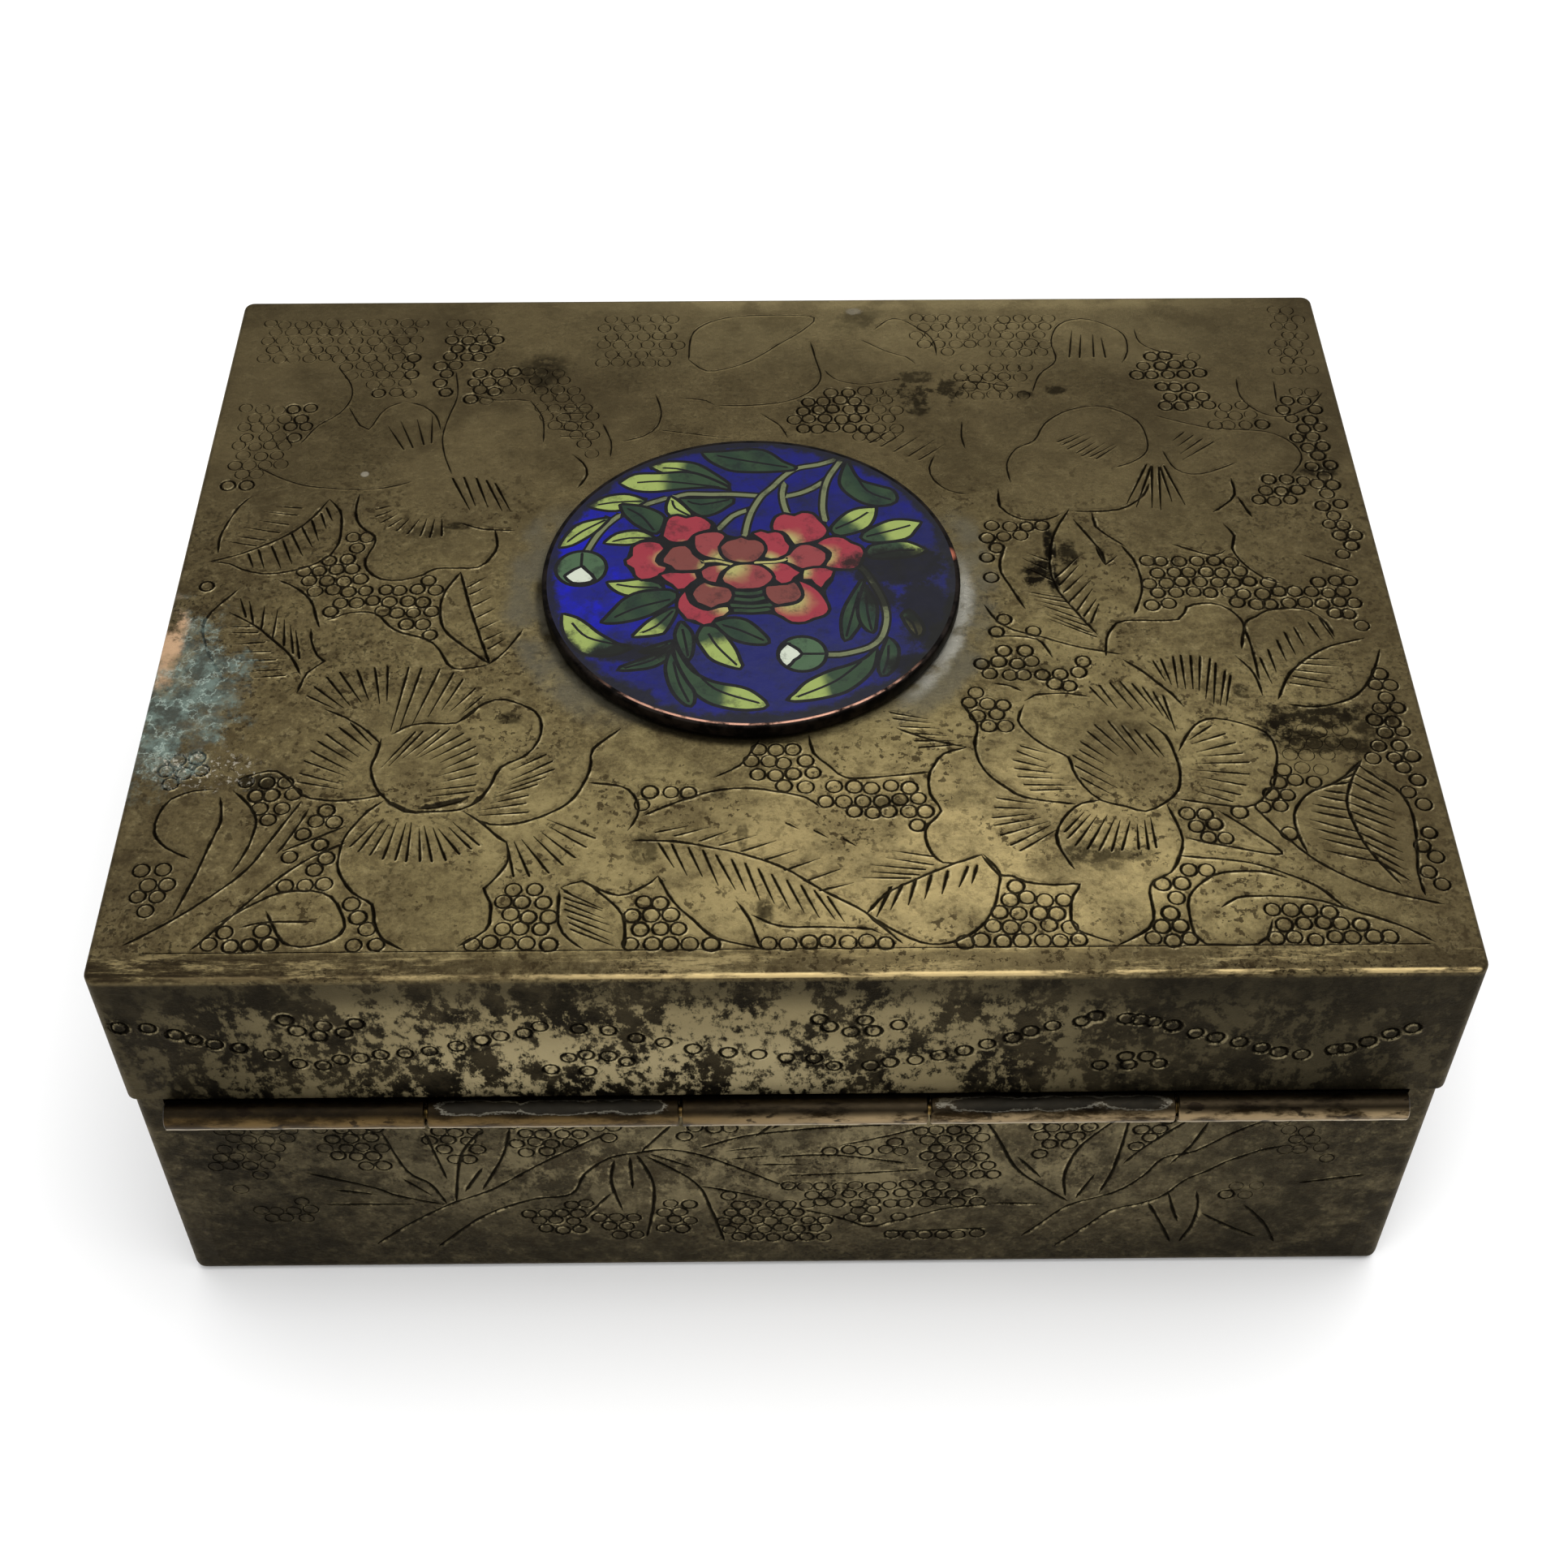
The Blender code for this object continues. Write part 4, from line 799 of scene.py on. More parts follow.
# Strokes struck wider and deeper than the rest
BOLD_COMBS = (((9.2, -38.3, 13.6, -36.7, 17.1, -35.8), (8, -41.4, 12.6, -39.5, 16.3, -38.3), 7),)
BOLD = ((-33.5, -28.6, -31, -28, -29, -27.2), (-28.8, -28.4, -27.4, -26.6),
        (-36.6, -27.6, -34.6, -28.8, -33.6, -29.2))
BORDER = ((-56, -45.1, -20, -45.1, 20, -45.1, 56, -45.1),)
GROUND = (
    (-57.8, -27.5, -54.2, -24, -53, -22, -57.8, -21.5), (-57.8, -42.5, -53.6, -38, -54, -34.8, -57.8, -34),
    (-57.8, 0.5, -55.8, 0.5, -57.8, 3.8), (-50, -24.6, -46, -24.4, -44.6, -28, -46, -32, -48, -32, -49, -28),
    (-43.8, -28, -39.4, -28.6, -40.6, -31.4, -44, -32.2),
    (-45, -34.2, -40.6, -31.8, -40.6, -37.8, -44.8, -38),
    (-39.6, -38.6, -36.6, -40, -34, -44.8, -38.6, -44.8),
    (-49.6, -42.4, -44.8, -42.4, -43.8, -44.8, -50.5, -44.8),
    (-26.6, -38.2, -20.8, -37.8, -20.6, -42, -18.8, -44.8, -28, -44.8, -25.6, -42.5),
    (-14, -39.6, -11, -38.6, -9, -41.4, -5.6, -44.9, -13.8, -44.9),
    (-2, -43, 6.5, -43, 9.4, -44.9, -2, -44.9),
    (-2, -20.6, 2, -20.6, 3.4, -24.4, 2.6, -26.8, -3.8, -26.2, -3.6, -23.8),
    (-17, -25.2, -7, -25.3, -7, -26.6, -12.6, -28.8),
    (3.4, -24.4, 13, -25.4, 13.8, -29.4, 12.4, -31.6, 3.2, -28.4),
    (19.6, -37.4, 26, -38.6, 24.8, -42, 26.4, -44.9, 14.8, -44.9, 18.4, -42),
    (32.8, -38, 36, -35.6, 40.5, -35.8, 35.2, -39.6, 35, -44.9, 29.6, -44.9, 32.6, -42),
    (36, -29.2, 42, -29.6, 40.6, -33.4, 36.2, -33), (42.8, -40.2, 48.6, -41.4, 54.8, -44.9, 42, -44.9),
    (45.4, -24, 52, -24.6, 47, -28, 45.6, -32.8, 43.2, -29.8), (46.6, -20, 52, -18.4, 54, -22.6, 46.6, -23.4),
    (56.9, -40.5, 58.9, -40.5, 58.9, -24, 57.3, -24), (54.4, -23.6, 58.9, -23.6, 58.9, -10.6, 56.4, -13),
    (56.2, 4, 58.6, 4, 58.2, 32, 53, 32, 55, 24, 55.6, 14),
    (-48.6, 2.6, -44.8, -1.8, -45, -3.6, -42.4, -2.4, -38.6, -4.4, -34.2, -6.4, -34.2, 2.8, -38, 1.4,
     -41.8, 2.8, -42.4, 5.2, -41.8, 8, -44, 10.2, -45, 6.6),
    (36.2, 4.6, 45.5, 4.6, 48, 0.8, 52, 0.6, 57, 1.6, 57.6, -6, 54, -4.4, 52, -3.2, 47, -3.4,
     44.6, -2.6, 40.2, -2.4, 36.4, -4.4),
    (20.4, 1, 21.8, 1, 22.4, 6.4, 27.8, 9.8, 22.2, 10.4, 20.6, 8),
    (18.6, -9.6, 22.8, -8, 26, -10.5, 30.8, -10, 28, -14, 18.6, -12),
    (17, -14.2, 22, -14.8, 21.6, -18.8, 18.8, -19.5), (20.6, -3.2, 26, -6.6, 25, -6.6, 20.6, -6.4),
    (-20, 36, -11, 36.5, -11, 44.5, -20, 44.5), (1, 24, 13, 23, 13, 31.6, 4.5, 31.4, 1, 29.4),
    (15.5, 39, 19.5, 36, 20, 45, 14, 45),
    (20, 38, 30, 37.4, 31, 44.8, 20, 44.8), (38.8, 33.5, 47, 34, 46, 38, 40.2, 39),
    (41, 28, 47, 28.6, 46, 33, 41, 32.6),
    (46, 25, 52, 24.8, 50.6, 29, 46.6, 28.6), (19.2, 30, 27, 30, 27.4, 36.6, 19.2, 36),
    (-58, 16, -54.5, 16, -50.5, 23, -50.2, 30, -58, 30),
    (-34, 29.5, -27.4, 31, -22, 22, -20, 20.5, -19, 28, -24, 35, -33.6, 35.6),
    (-57.5, 37, -49, 37, -44.5, 31.5, -40, 31, -40, 44.6, -57.5, 44.6),
    (-38.6, 31.5, -35.8, 31, -35.2, 36, -31.2, 38, -31.5, 45.2, -36.5, 45.2, -37, 38),
    (54.5, 34, 58.6, 34, 58.6, 45.4, 55.5, 45.4),
    (49, 12.5, 54, 12.5, 55.2, 17, 50.5, 17.2),
)
# Single ring marks on the hinge wall: the wave, then the small groups above and below it
WAVE = (
    -58.7, 11.1, -56.2, 11, -54, 10, -52.5, 9.2, -50.8, 8.5, -48.7, 7.9, -46, 6.9, -43.8, 5.4, -41.7, 5.1,
    -40, 6, -38.2, 6.2, -36.3, 6.7, -34.1, 6.9, -31.9, 7.2, -29.4, 7.9, -27.1, 8.8, -25.4, 9.4, -23.3, 9.8,
    -21.8, 10.8, -18.4, 10.4, -15.8, 10.1, -13.4, 8.9, -11, 8.2, -8.4, 7.2, -5.3, 6.6, -2.6, 6.3, -0.1, 5.7,
    2.4, 5.6, 4.2, 4.4, 7.5, 4.4, 9.2, 4.9, 11.5, 5.2, 13.6, 5.9, 15.8, 6.6, 17.8, 7.6, 20, 8.5, 21.5, 9.5,
    23.4, 10.3, 25.9, 10.9, 27.1, 11.7, 29.8, 11.3, 31, 11.1, 32.3, 10.8, 34, 10.2, 36.2, 9, 38.1, 8.3,
    40.3, 7.6, 42.4, 6.7, 44.1, 6, 46.2, 5.6, 49, 6.3, 50.1, 6.5, 51.8, 7.5, 53.6, 8.7, 55.4, 9.5,
    -44, 12, -43.2, 10.4, -41.4, 9.6, -40.8, 11.1, -39.1, 10.1, -37.9, 11.4,
    -19.6, 6, -18, 6.4, -16, 6.2, -14.4, 5.3, -18, 3.9, -21.3, 4.2,
    2.8, 11.5, 3.7, 10.4, 5.6, 9.6, 6.8, 11.3, 7.6, 9.7, 9.8, 10.6,
    28.2, 4.2, 30.4, 5.5, 32.3, 5.5, 30.8, 4.2, 33.5, 4.4,
)
# The other walls carry an even wave, with a group of five marks in each of its bends
WAVE_LENGTH = 48
WAVE_MIDDLE = 8
GROUP = ((-1.9, 0.5), (0, -0.4), (1.9, 0.6), (-1, 2), (1, 2.1))
DISH_PLACE = (-3.1, 0.3)
UNDER_DISH = 20
lid = sheet_box(LENGTH, DEPTH, HEIGHT - LID_RIM, LID_EDGE, SHEET, LID_SHEET)
bmesh.ops.scale(lid, vec=(1, 1, -1), verts=lid.verts)
bmesh.ops.translate(lid, vec=(0, 0, HEIGHT), verts=lid.verts)
bmesh.ops.recalc_face_normals(lid, faces=lid.faces)
cuts = traced((*PETALS, *STEMS)) + traced(FAR_PETALS, 0.3, 0.05)
for rib, left, right, counts in LEAVES:
    cuts += traced((rib, left, right)) + leaf_veins(rib, left, right, counts)
outlines = list(cuts)
cuts += traced(BORDER, 0.24, 0.07)
cuts += combed(COMBS) + combed(FAR_COMBS, 0.3, 0.06)
cuts += combed(BOLD_COMBS, 0.5, 0.2) + traced(BOLD, 1.1, 0.24)
marks = []
for patch in GROUND:
    ringed(patch, outlines, marks)
centre = Vector(DISH_PLACE)
cuts = [cut for cut in cuts if all((point - centre).length > UNDER_DISH for point in cut[0])]
hollows = [Vector((4, 28)), Vector((42, 32)), Vector((-47, 27)), Vector((56, 24)), Vector((-35, 36))]
tarred = Vector((50, -20.8))


def ring_strength(mark):
    """Rings are worn faint on the far half, but for five hollows, and where tar fills them."""
    if (mark - tarred).length < 4.6:
        return 0.35
    return 0.5 if mark.y > 17 and all((mark - hollow).length > 6 for hollow in hollows) else 1


chase(lid, flat_face(lid, (0, 0, 1)), (1, 0, 0), (0, 1, 0), (0, 0, 0), cuts, marks, ring_strength)
for way, along, half in WALLS:
    if way[1] == -1:
        marks = [Vector(pair) for pair in zip(WAVE[::2], WAVE[1::2])]
    else:
        run = [-half + 3 + 2.15 * step for step in range(60)]
        marks = [Vector((x, WAVE_MIDDLE + 2.9 * math.cos(x / 24 * math.pi) + random.uniform(-0.2, 0.2)))
                 for x in run if x < half - 2]
        for x in range(-WAVE_LENGTH, WAVE_LENGTH + 1, WAVE_LENGTH // 2):
            low = WAVE_MIDDLE - 3.6 * math.cos(x / 24 * math.pi)
            marks += [Vector((x + dx, low + dy)) for dx, dy in GROUP if abs(x) < half - 4]
    chase(lid, flat_face(lid, way), along, (0, 0, 1), (0, 0, LID_RIM), [], marks,
          lambda mark: 1.35 if way[1] == -1 else 0.85)

# Soot and tar: x, y, half width, half height, how far its edge frays, and how dark
SOOT = (
    (15.0, 30.4, 1.8, 1.7, 8.0, 0.85), (18.4, 31.8, 1.3, 2.2, 8.0, 0.85), (15.2, 33.6, 1.9, 0.9, 6.0, 0.75),
    (26.6, 30.6, 0.9, 0.6, 4.0, 0.8), (30.2, 31.4, 1.2, 0.7, 4.5, 0.8), (14.8, 27.8, 1.2, 0.7, 3.0, 0.8),
    (27.2, 5.6, 0.6, 3.6, 1.6, 1.0), (27.2, 1.0, 0.7, 1.8, 1.8, 1.0), (25.6, 2.2, 1.7, 1.7, 4.5, 1.0),
    (28.9, 5.2, 0.9, 1.9, 3.5, 0.9), (46.6, -19.4, 1.8, 1.6, 3.5, 1.0), (51.0, -18.0, 5.6, 1.5, 5.5, 0.95),
    (51.6, -21.4, 4.6, 1.3, 5.0, 0.9), (55.0, -19.6, 1.8, 1.6, 3.6, 0.85), (27.4, -34.6, 2.6, 1.2, 3.0, 0.75),
    (30.4, -34.7, 2.8, 0.9, 3.0, 0.65), (28.6, -36.0, 1.4, 0.7, 2.0, 0.6), (43.7, -14.4, 0.7, 0.8, 1.0, 0.8),
    (-12.6, -33.8, 1.3, 1.9, 3.0, 0.65), (-2.0, -41.0, 0.8, 1.5, 1.6, 0.75),
    (-6.1, -27.0, 0.9, 0.7, 1.2, 0.75),
    (-3.9, -32.2, 0.5, 1.5, 1.6, 0.6), (9.4, -28.3, 3.2, 0.9, 3.0, 0.6), (8.8, 44.6, 2.8, 2.0, 5.0, 0.7),
    (-48.6, -25.4, 2.6, 1.0, 3.0, 0.8), (-33, 9.8, 1.6, 0.5, 1.6, 0.8), (-36.4, 8.9, 2.4, 0.9, 2.0, 0.5),
    (-26, -17.4, 1.1, 0.8, 1.6, 0.7), (56.5, 17.6, 2.4, 0.9, 3.4, 0.85), (39.6, 3.4, 0.5, 0.6, 0.8, 0.8),
    (32.8, -19.2, 1.5, 1.1, 1.6, 0.45), (16.2, -27.9, 2.2, 1.2, 3.0, 0.4), (23.4, -11.4, 4.2, 1.8, 3.4, 0.4),
    (48.4, -20.6, 2.6, 1.2, 5.0, 0.95),
)
# Soft shades on the top: x, y, half width, half height, and how dark
SHADES = ((-4, -32, 16, 12, 0.16), (31, -21.5, 5, 6, 0.4), (51, -31, 7, 10, 0.3), (53, -5, 8, 5, 0.3),
          (-31, -39.5, 6, 4.5, 0.35), (-33, -22, 5, 5, 0.2), (58, -25, 3, 22, 0.3))
CRUST = (-60.8, -14.5, 8.2, 10.5)
lid_brass, tone, mottle = brass_sheet("lid_brass", linear(76, 66, 45), linear(102, 90, 61))
x, y, z = lid_brass.x, lid_brass.y, lid_brass.z
# The top is brighter near the middle of the hinge edge and darker towards the far side and the ends,
# and over the far right: brass polished by handling, with a painted reflection laid over it
calm = lid_brass.mix(lid_brass.noise(80, 6.0, rough=0.6, shift=0.7).above(0.4, 0.6),
                     linear(70, 61, 42), linear(94, 83, 58))
polish_and_sheen = y.below(-36, 30) * y.above(-47.5, -41) * (abs(x - 7) / 62).below(0.3, 1.15)
patchy = lid_brass.noise(110, 8.0, rough=0.7, shift=0.11).above(0.38, 0.6)
specks = lid_brass.noise(1400, 3.0, rough=0.6, shift=0.77).above(0.57, 0.61)
specks = specks * (lid_brass.noise(120, 4.0, shift=0.44).above(0.42, 0.6) * 0.8 + 0.2)
tone = lid_brass.layered(
    tone,
    (y.above(-8, 22) * 0.7, calm),
    (polish_and_sheen * (patchy * 0.6 + 0.3) * 0.95, linear(148, 134, 92)),
    (lid_brass.spot(14, -36, 22, 11, 0.6) * (patchy * 0.6 + 0.2) * 0.6, linear(186, 166, 116)),
    (mottle.above(0.5, 0.6) * polish_and_sheen * 0.4, linear(60, 48, 30)),
    (specks * y.below(5, 30) * 0.8, linear(42, 33, 20)),
    ((abs(x + 2) / 58).above(0.75, 1.05) * y.below(-20, 20) * 0.4, linear(64, 56, 40)),
    (x.above(10, 50) * y.above(-20, 5) * 0.25, linear(50, 43, 30)),
)
# Soot, with a ring at the dish's foot on its left that is soot and painted shadow, the haze round
# the dish and the solder beside it
soot = lid_brass.spot(-26, 35, 2.4, 3.2, 0.5, 2.4) * 0.8
for sx, sy, wide, high, fray, dark in SOOT:
    soot = soot.most(lid_brass.spot(sx, sy, wide, high, 0.3, fray) * dark)
soot = soot * (lid_brass.noise(1000, 5.0, rough=0.7, shift=0.35).above(0.38, 0.5) * 0.6 + 0.4)
# Soot and painted shadow in a ring round the dish's foot, on its left side
foot = lid_brass.spot(*DISH_PLACE, 21.5, 21.5, 0.018, 0.05) * x.below(-2, 8)
haze = lid_brass.spot(*DISH_PLACE, 24.5, 24.5, 0.035, 0.12) * (abs(y + 3) / 16).below(0.7, 1.1)
fillet = lid_brass.spot(-2.75, -0.1, 21.6, 21.6, 0.03, 0.08) * (abs(y + 6) / 11).below(0.5, 1.1)
fillet = fillet * x.above(9, 14)
tone = lid_brass.layered(
    tone,
    (soot.most(foot * 0.9) * 0.96, linear(11, 9, 7)),
    (haze * lid_brass.noise(220, 4.0).above(0.3, 0.6) * 0.75, linear(92, 88, 74)),
    (fillet * lid_brass.noise(400, 5.0).above(0.3, 0.55) * 0.85, linear(158, 156, 145)),
)
# The strip along the hinge edge is streaked and dark at its left, and the far edge is pale
streak = lid_brass.noise(260, 8.0, (0.3, 1.6, 1), 0.8, 0.4)
strip = y.below(-45.9, -45.0) * z.above(49.0, 49.4)
left_strip = x.below(-56, -20)
soiled = streak.above(0.44, 0.54) * (left_strip * 0.25 + 0.4) + left_strip * 0.42
back = (y.above(32, 42) * 0.22 + y.above(45.2, 47) * 0.25) * x.above(-34, -6) * x.below(36, 60)
tone = lid_brass.layered(
    tone,
    (strip * soiled, linear(40, 33, 22)),
    (strip * streak.below(0.4, 0.46) * 0.4, linear(176, 158, 112)),
    (back * (lid_brass.noise(240, 6.0).above(0.4, 0.55) * 0.6 + 0.6), linear(150, 136, 98)),
    *((lid_brass.spot(*oval, 0.6) * dark, linear(60, 50, 32)) for *oval, dark in SHADES),
    (y.above(40, 47) * x.below(-54, -34) * 0.3, linear(40, 34, 24)),
)
tone = cut_marks(lid_brass, tone, mottle, linear(15, 12, 8), 0.5 - y.above(2, 22) * 0.3)
# Verdigris at the left edge, white specks beside it, and the hinge edge rubbed bright, with a
# painted highlight along it
crust = lid_brass.spot(*CRUST, 0.25, 2.6)
thick = lid_brass.noise(150, 8.0, rough=0.7).above(0.36, 0.52) * 0.7 + 0.3
veins = abs(lid_brass.noise(330, 7.0, rough=0.65, shift=0.3) - 0.5).below(0.005, 0.022)
green = lid_brass.layered(
    lid_brass.mix(lid_brass.noise(420, 8.0, rough=0.75).above(0.42, 0.6),
                  linear(44, 52, 47), linear(90, 106, 99)),
    (veins * 0.55, linear(156, 172, 162)),
    (lid_brass.spot(-59.8, -7.0, 1.3, 4.6, 0.4, 2.4), linear(172, 140, 108)),
)
white = lid_brass.spot(-53.4, -23.8, 4.6, 2.4, 0.4, 3.0) * lid_brass.noise(2600, 3.0).above(0.58, 0.63) * 0.8
white = white.most(lid_brass.spot(-43.6, 18, 0.4, 0.4, 0.3, 0.6) * 0.6)
white = white.most(lid_brass.spot(8.4, 45.6, 0.9, 0.6, 0.3, 2.6) * 0.3)
# The hinge edge: rubbed bright brass with a painted highlight along it
edge = (z - y).above(97.1, 97.22) * lid_brass.noise(420, 6.0, (0.25, 1, 1), 0.7).above(0.42, 0.56)
tone = lid_brass.layered(
    tone,
    (crust * thick * 0.92, green),
    (white * 0.85, linear(178, 172, 156)),
    (edge * (x.above(-36, -4) * 0.8 + 0.12), linear(206, 182, 130)),
)
# The walls are nearly black, which is painted shade, and darker towards their ends, with bare brass
# in patches on the hinge side
grain = (lid_brass.noise(1100, 4.0, shift=0.8) - 0.5) * 0.3
patch = (lid_brass.noise(210, 9.0, (1.25, 1, 0.7), 0.82, 0.2) + grain).above(0.47, 0.55)
patch = patch * ((abs(x + 14) / 46).below(0.45, 1.1) * 0.85 + 0.15) * (z.below(43.5, 47.4) * 0.75 + 0.25)
patch = patch * y.below(-47.9, -47.5)
dark = lid_brass.layered(
    lid_brass.mix(lid_brass.noise(160, 8.0, rough=0.75).above(0.42, 0.6),
                  linear(16, 14, 10), linear(50, 44, 31)),
    (x.above(10, 50) * 0.5, linear(24, 22, 17)),
    (patch * 0.88, linear(146, 133, 98)),
    (patch * x.above(-38, -28) * x.below(-2, 12) * z.below(37, 43) * 0.5, linear(188, 174, 134)),
    (x.below(-58, -26) * 0.4 + 0.08, linear(9, 8, 6)),
    (x.above(36, 58) * 0.25, linear(9, 8, 6)),
)
dark = cut_marks(lid_brass, dark, mottle, linear(5, 4, 3), 0.3)
# The top keeps its own tone and the walls take the nearly black painted shade
tone = lid_brass.mix(z.below(48.5, 49.1), tone, dark)
lid_brass.send(Base_Color=tone, Metallic=1 - crust * 0.9,
               Roughness=mottle * 0.3 + 0.3 + crust * 0.35 + soot * 0.2)
rough_crust = lid_brass.spot(*CRUST, 0.25) * lid_brass.noise(1500, 4.0)
lid_brass.relief(mottle * 1.2 + lid_brass.noise(300, 3.0) * 0.6 + rough_crust * 3, 0.00009)
settle("lid_brass_sheet", lid, lid_brass.material, inside_brass.material,
       body="lid", node="lid", slot="lid_brass")

# The hinge is five tubes rolled from brass, soldered in turn to the base and the lid and strung
# on one wire. Hands have worn their lower side bright, with a painted reflection of the floor there,
# their top is painted dark as the shadow under the lid's edge, and solder smears the two lid tubes.
HINGE_Y = -0.0486
HINGE_Z = 0.02985
TUBE = 0.0014
TUBE_STEPS = 40
BORE = 0.0009
PIN = 0.0006
HINGE_LENGTH = 0.114
GAP = 0.0003
LIP = 0.0001
SHARES = (0.210, 0.204, 0.200, 0.199, 0.187)
tube_brass = Finish("tube_brass", Metallic=1.0)
solder = tube_brass.attribute("solder")
streak = tube_brass.noise(160, 7.0, (1, 3, 3), 0.7)
line = tube_brass.z.below(29.4, 29.6) * tube_brass.z.above(28.6, 28.85) * tube_brass.y.below(-49.5, -49.2)
spots = tube_brass.noise(420, 6.0, (1, 2, 2), shift=0.2).above(0.6, 0.65)
blob = solder + (tube_brass.noise(700, 7.0, (0.4, 1, 1), 0.8) - 0.5) * solder.above(0.02, 0.2) * 2.6
tone = tube_brass.layered(
    tube_brass.mix(streak.above(0.4, 0.6), linear(50, 39, 23), linear(98, 79, 48)),
    (tube_brass.x.above(-16, 8) * streak.above(0.36, 0.52) * 0.8, linear(150, 130, 98)),
    # Painted shadow: the tubes' tops are dark where the lid's edge hangs over them
    (tube_brass.z.above(30.4, 30.95) * 0.93, linear(18, 15, 11)),
    # A worn bright line low on the tubes, which is also a painted reflection of the floor below
    (line * streak.above(0.3, 0.44) * 0.85, linear(206, 192, 166)),
    (spots * 0.8, linear(20, 15, 11)),
    (blob.above(0.4, 0.7) * 0.7, linear(42, 40, 35)),
    (abs(blob - 0.36).below(0.04, 0.16) * 0.6, linear(120, 116, 104)),
)
tube_brass.send(Base_Color=tone, Roughness=tube_brass.noise(900, 3.0) * 0.25 + 0.3 + solder * 0.2)
tube_brass.relief(tube_brass.noise(1100, 3.0), 0.00003)
start = -HINGE_LENGTH / 2
for number, share in enumerate(SHARES, start=1):
    stop = start + share * HINGE_LENGTH / sum(SHARES)
    low = start + (GAP / 2 if number > 1 else 0)
    high = stop - (GAP / 2 if number < len(SHARES) else 0)
    tube = bmesh.new()
    smear = tube.verts.layers.float.new("solder")
    count = round((high - low) / 0.0006)
    profile = [(low, BORE), (low, TUBE - LIP), (low + LIP, TUBE)]
    profile += [(low + LIP + (high - low - 2 * LIP) * step / count, TUBE) for step in range(1, count)]
    profile += [(high - LIP, TUBE), (high, TUBE - LIP), (high, BORE)]
    verts = [tube.verts.new((x, HINGE_Y, HINGE_Z + radius)) for x, radius in profile]
    edges = [tube.edges.new((a, b)) for a, b in zip(verts, [*verts[1:], verts[0]])]
    bmesh.ops.spin(tube, geom=[*verts, *edges], cent=(0, HINGE_Y, HINGE_Z), axis=(1, 0, 0),
                   angle=math.tau, steps=TUBE_STEPS, use_merge=True)
    bmesh.ops.recalc_face_normals(tube, faces=tube.faces)
    for vert in tube.verts:
        out = Vector((0, vert.co.y - HINGE_Y, vert.co.z - HINGE_Z))
        if out.length < TUBE - LIP / 2:
            continue
        out.normalize()
        wander = math.sin(vert.co.x * 900 + number) + 0.6 * math.sin(vert.co.x * 2300 + 2 * number)
        if number in (2, 4):
            top = max(0.0, 1 - abs(math.atan2(-out.y, out.z) - 0.25) / 0.62)
            along = min(1, min(vert.co.x - low, high - vert.co.x) / 0.0024)
            vert[smear] = max(0.0, min(1.0, top * along * (1.25 + 0.35 * wander)))
            vert.co += out * 0.00011 * vert[smear] * (1 + 0.4 * math.sin(vert.co.x * 4100))
        vert.co += out * 0.000012 * wander
    for face in tube.faces:
        face.smooth = True
    settle(f"hinge_tube_{number}", tube, tube_brass.material, body="lid" if number % 2 == 0 else "box",
           node=f"hinge_knuckle_{number}", slot="tube_brass")
    start = stop

wire_brass = Finish("pin_brass", Metallic=1.0, Roughness=0.35)
wire_tone = wire_brass.mix(wire_brass.noise(700).above(0.4, 0.6), linear(88, 70, 40), linear(140, 116, 68))
wire_brass.send(Base_Color=wire_tone)
pin = bmesh.new()
bmesh.ops.create_cone(pin, cap_ends=True, segments=24, radius1=PIN, radius2=PIN, depth=HINGE_LENGTH)
ends = [edge for edge in pin.edges if abs(edge.verts[0].co.z - edge.verts[1].co.z) < TINY]
bmesh.ops.bevel(pin, geom=ends, offset=0.00012, offset_type="OFFSET", segments=2, profile=0.5,
                affect="EDGES", material=-1)
for vert in pin.verts:
    vert.co = Vector((vert.co.z, HINGE_Y + vert.co.y, HINGE_Z - vert.co.x))
for face in pin.faces:
    face.smooth = True
settle("hinge_wire", pin, wire_brass.material, body="box", node="hinge_pin", slot="pin_brass")

# The medallion's dish is copper, spun with a low rim and soldered to the lid. It is oxidised
# black all round, and the near side of its rim is rubbed back to bright copper, painted brighter as
# a glint along the rim's top.
MEDALLION = Vector((-0.0031, 0.0003, 0.0498))
DISH = 0.02075
RIM_WIDTH = 0.0005
DISH_HEIGHT = 0.0015
WELL = 0.0007
ENAMEL_CROWN = 0.00025
AROUND = 160
copper = Finish("oxidised_copper", Metallic=1.0)
cx, cy = copper.x - DISH_PLACE[0], copper.y - DISH_PLACE[1]
# The near side of the rim: rubbed copper with a painted glint along its top
rub_and_glint = (cy / 20.7).below(-0.86, -0.5) * copper.noise(500, 4.0).above(0.38, 0.56)
rub_and_glint = rub_and_glint * (cx / 20.7).above(-0.75, -0.5)
rub_and_glint = rub_and_glint * (cx / 20.7).below(0.72, 0.98) * ((cx * cx + cy * cy) ** 0.5).below(20.42, 20.56)
tone = copper.layered(
    copper.mix(copper.noise(600).above(0.4, 0.6), linear(13, 11, 10), linear(34, 29, 26)),
    (rub_and_glint * 0.9, linear(180, 136, 116)),
    (copper.spot(16.1, 3.1, 1.3, 0.9, 0.4, 0.5) * 0.8, linear(184, 112, 88)),
)
copper.send(Base_Color=tone, Roughness=0.55 - rub_and_glint * 0.15)
dish = bmesh.new()
steps = [(0, 0), (DISH - 0.0002, 0), (DISH, 0.0002), (DISH, DISH_HEIGHT - 0.00022),
         (DISH - 0.00008, DISH_HEIGHT - 0.00007), (DISH - 0.0002, DISH_HEIGHT),
         (DISH - RIM_WIDTH, DISH_HEIGHT), (DISH - RIM_WIDTH, DISH_HEIGHT - WELL), (0, DISH_HEIGHT - WELL)]
verts = [dish.verts.new(MEDALLION + Vector((radius, 0, height))) for radius, height in steps]
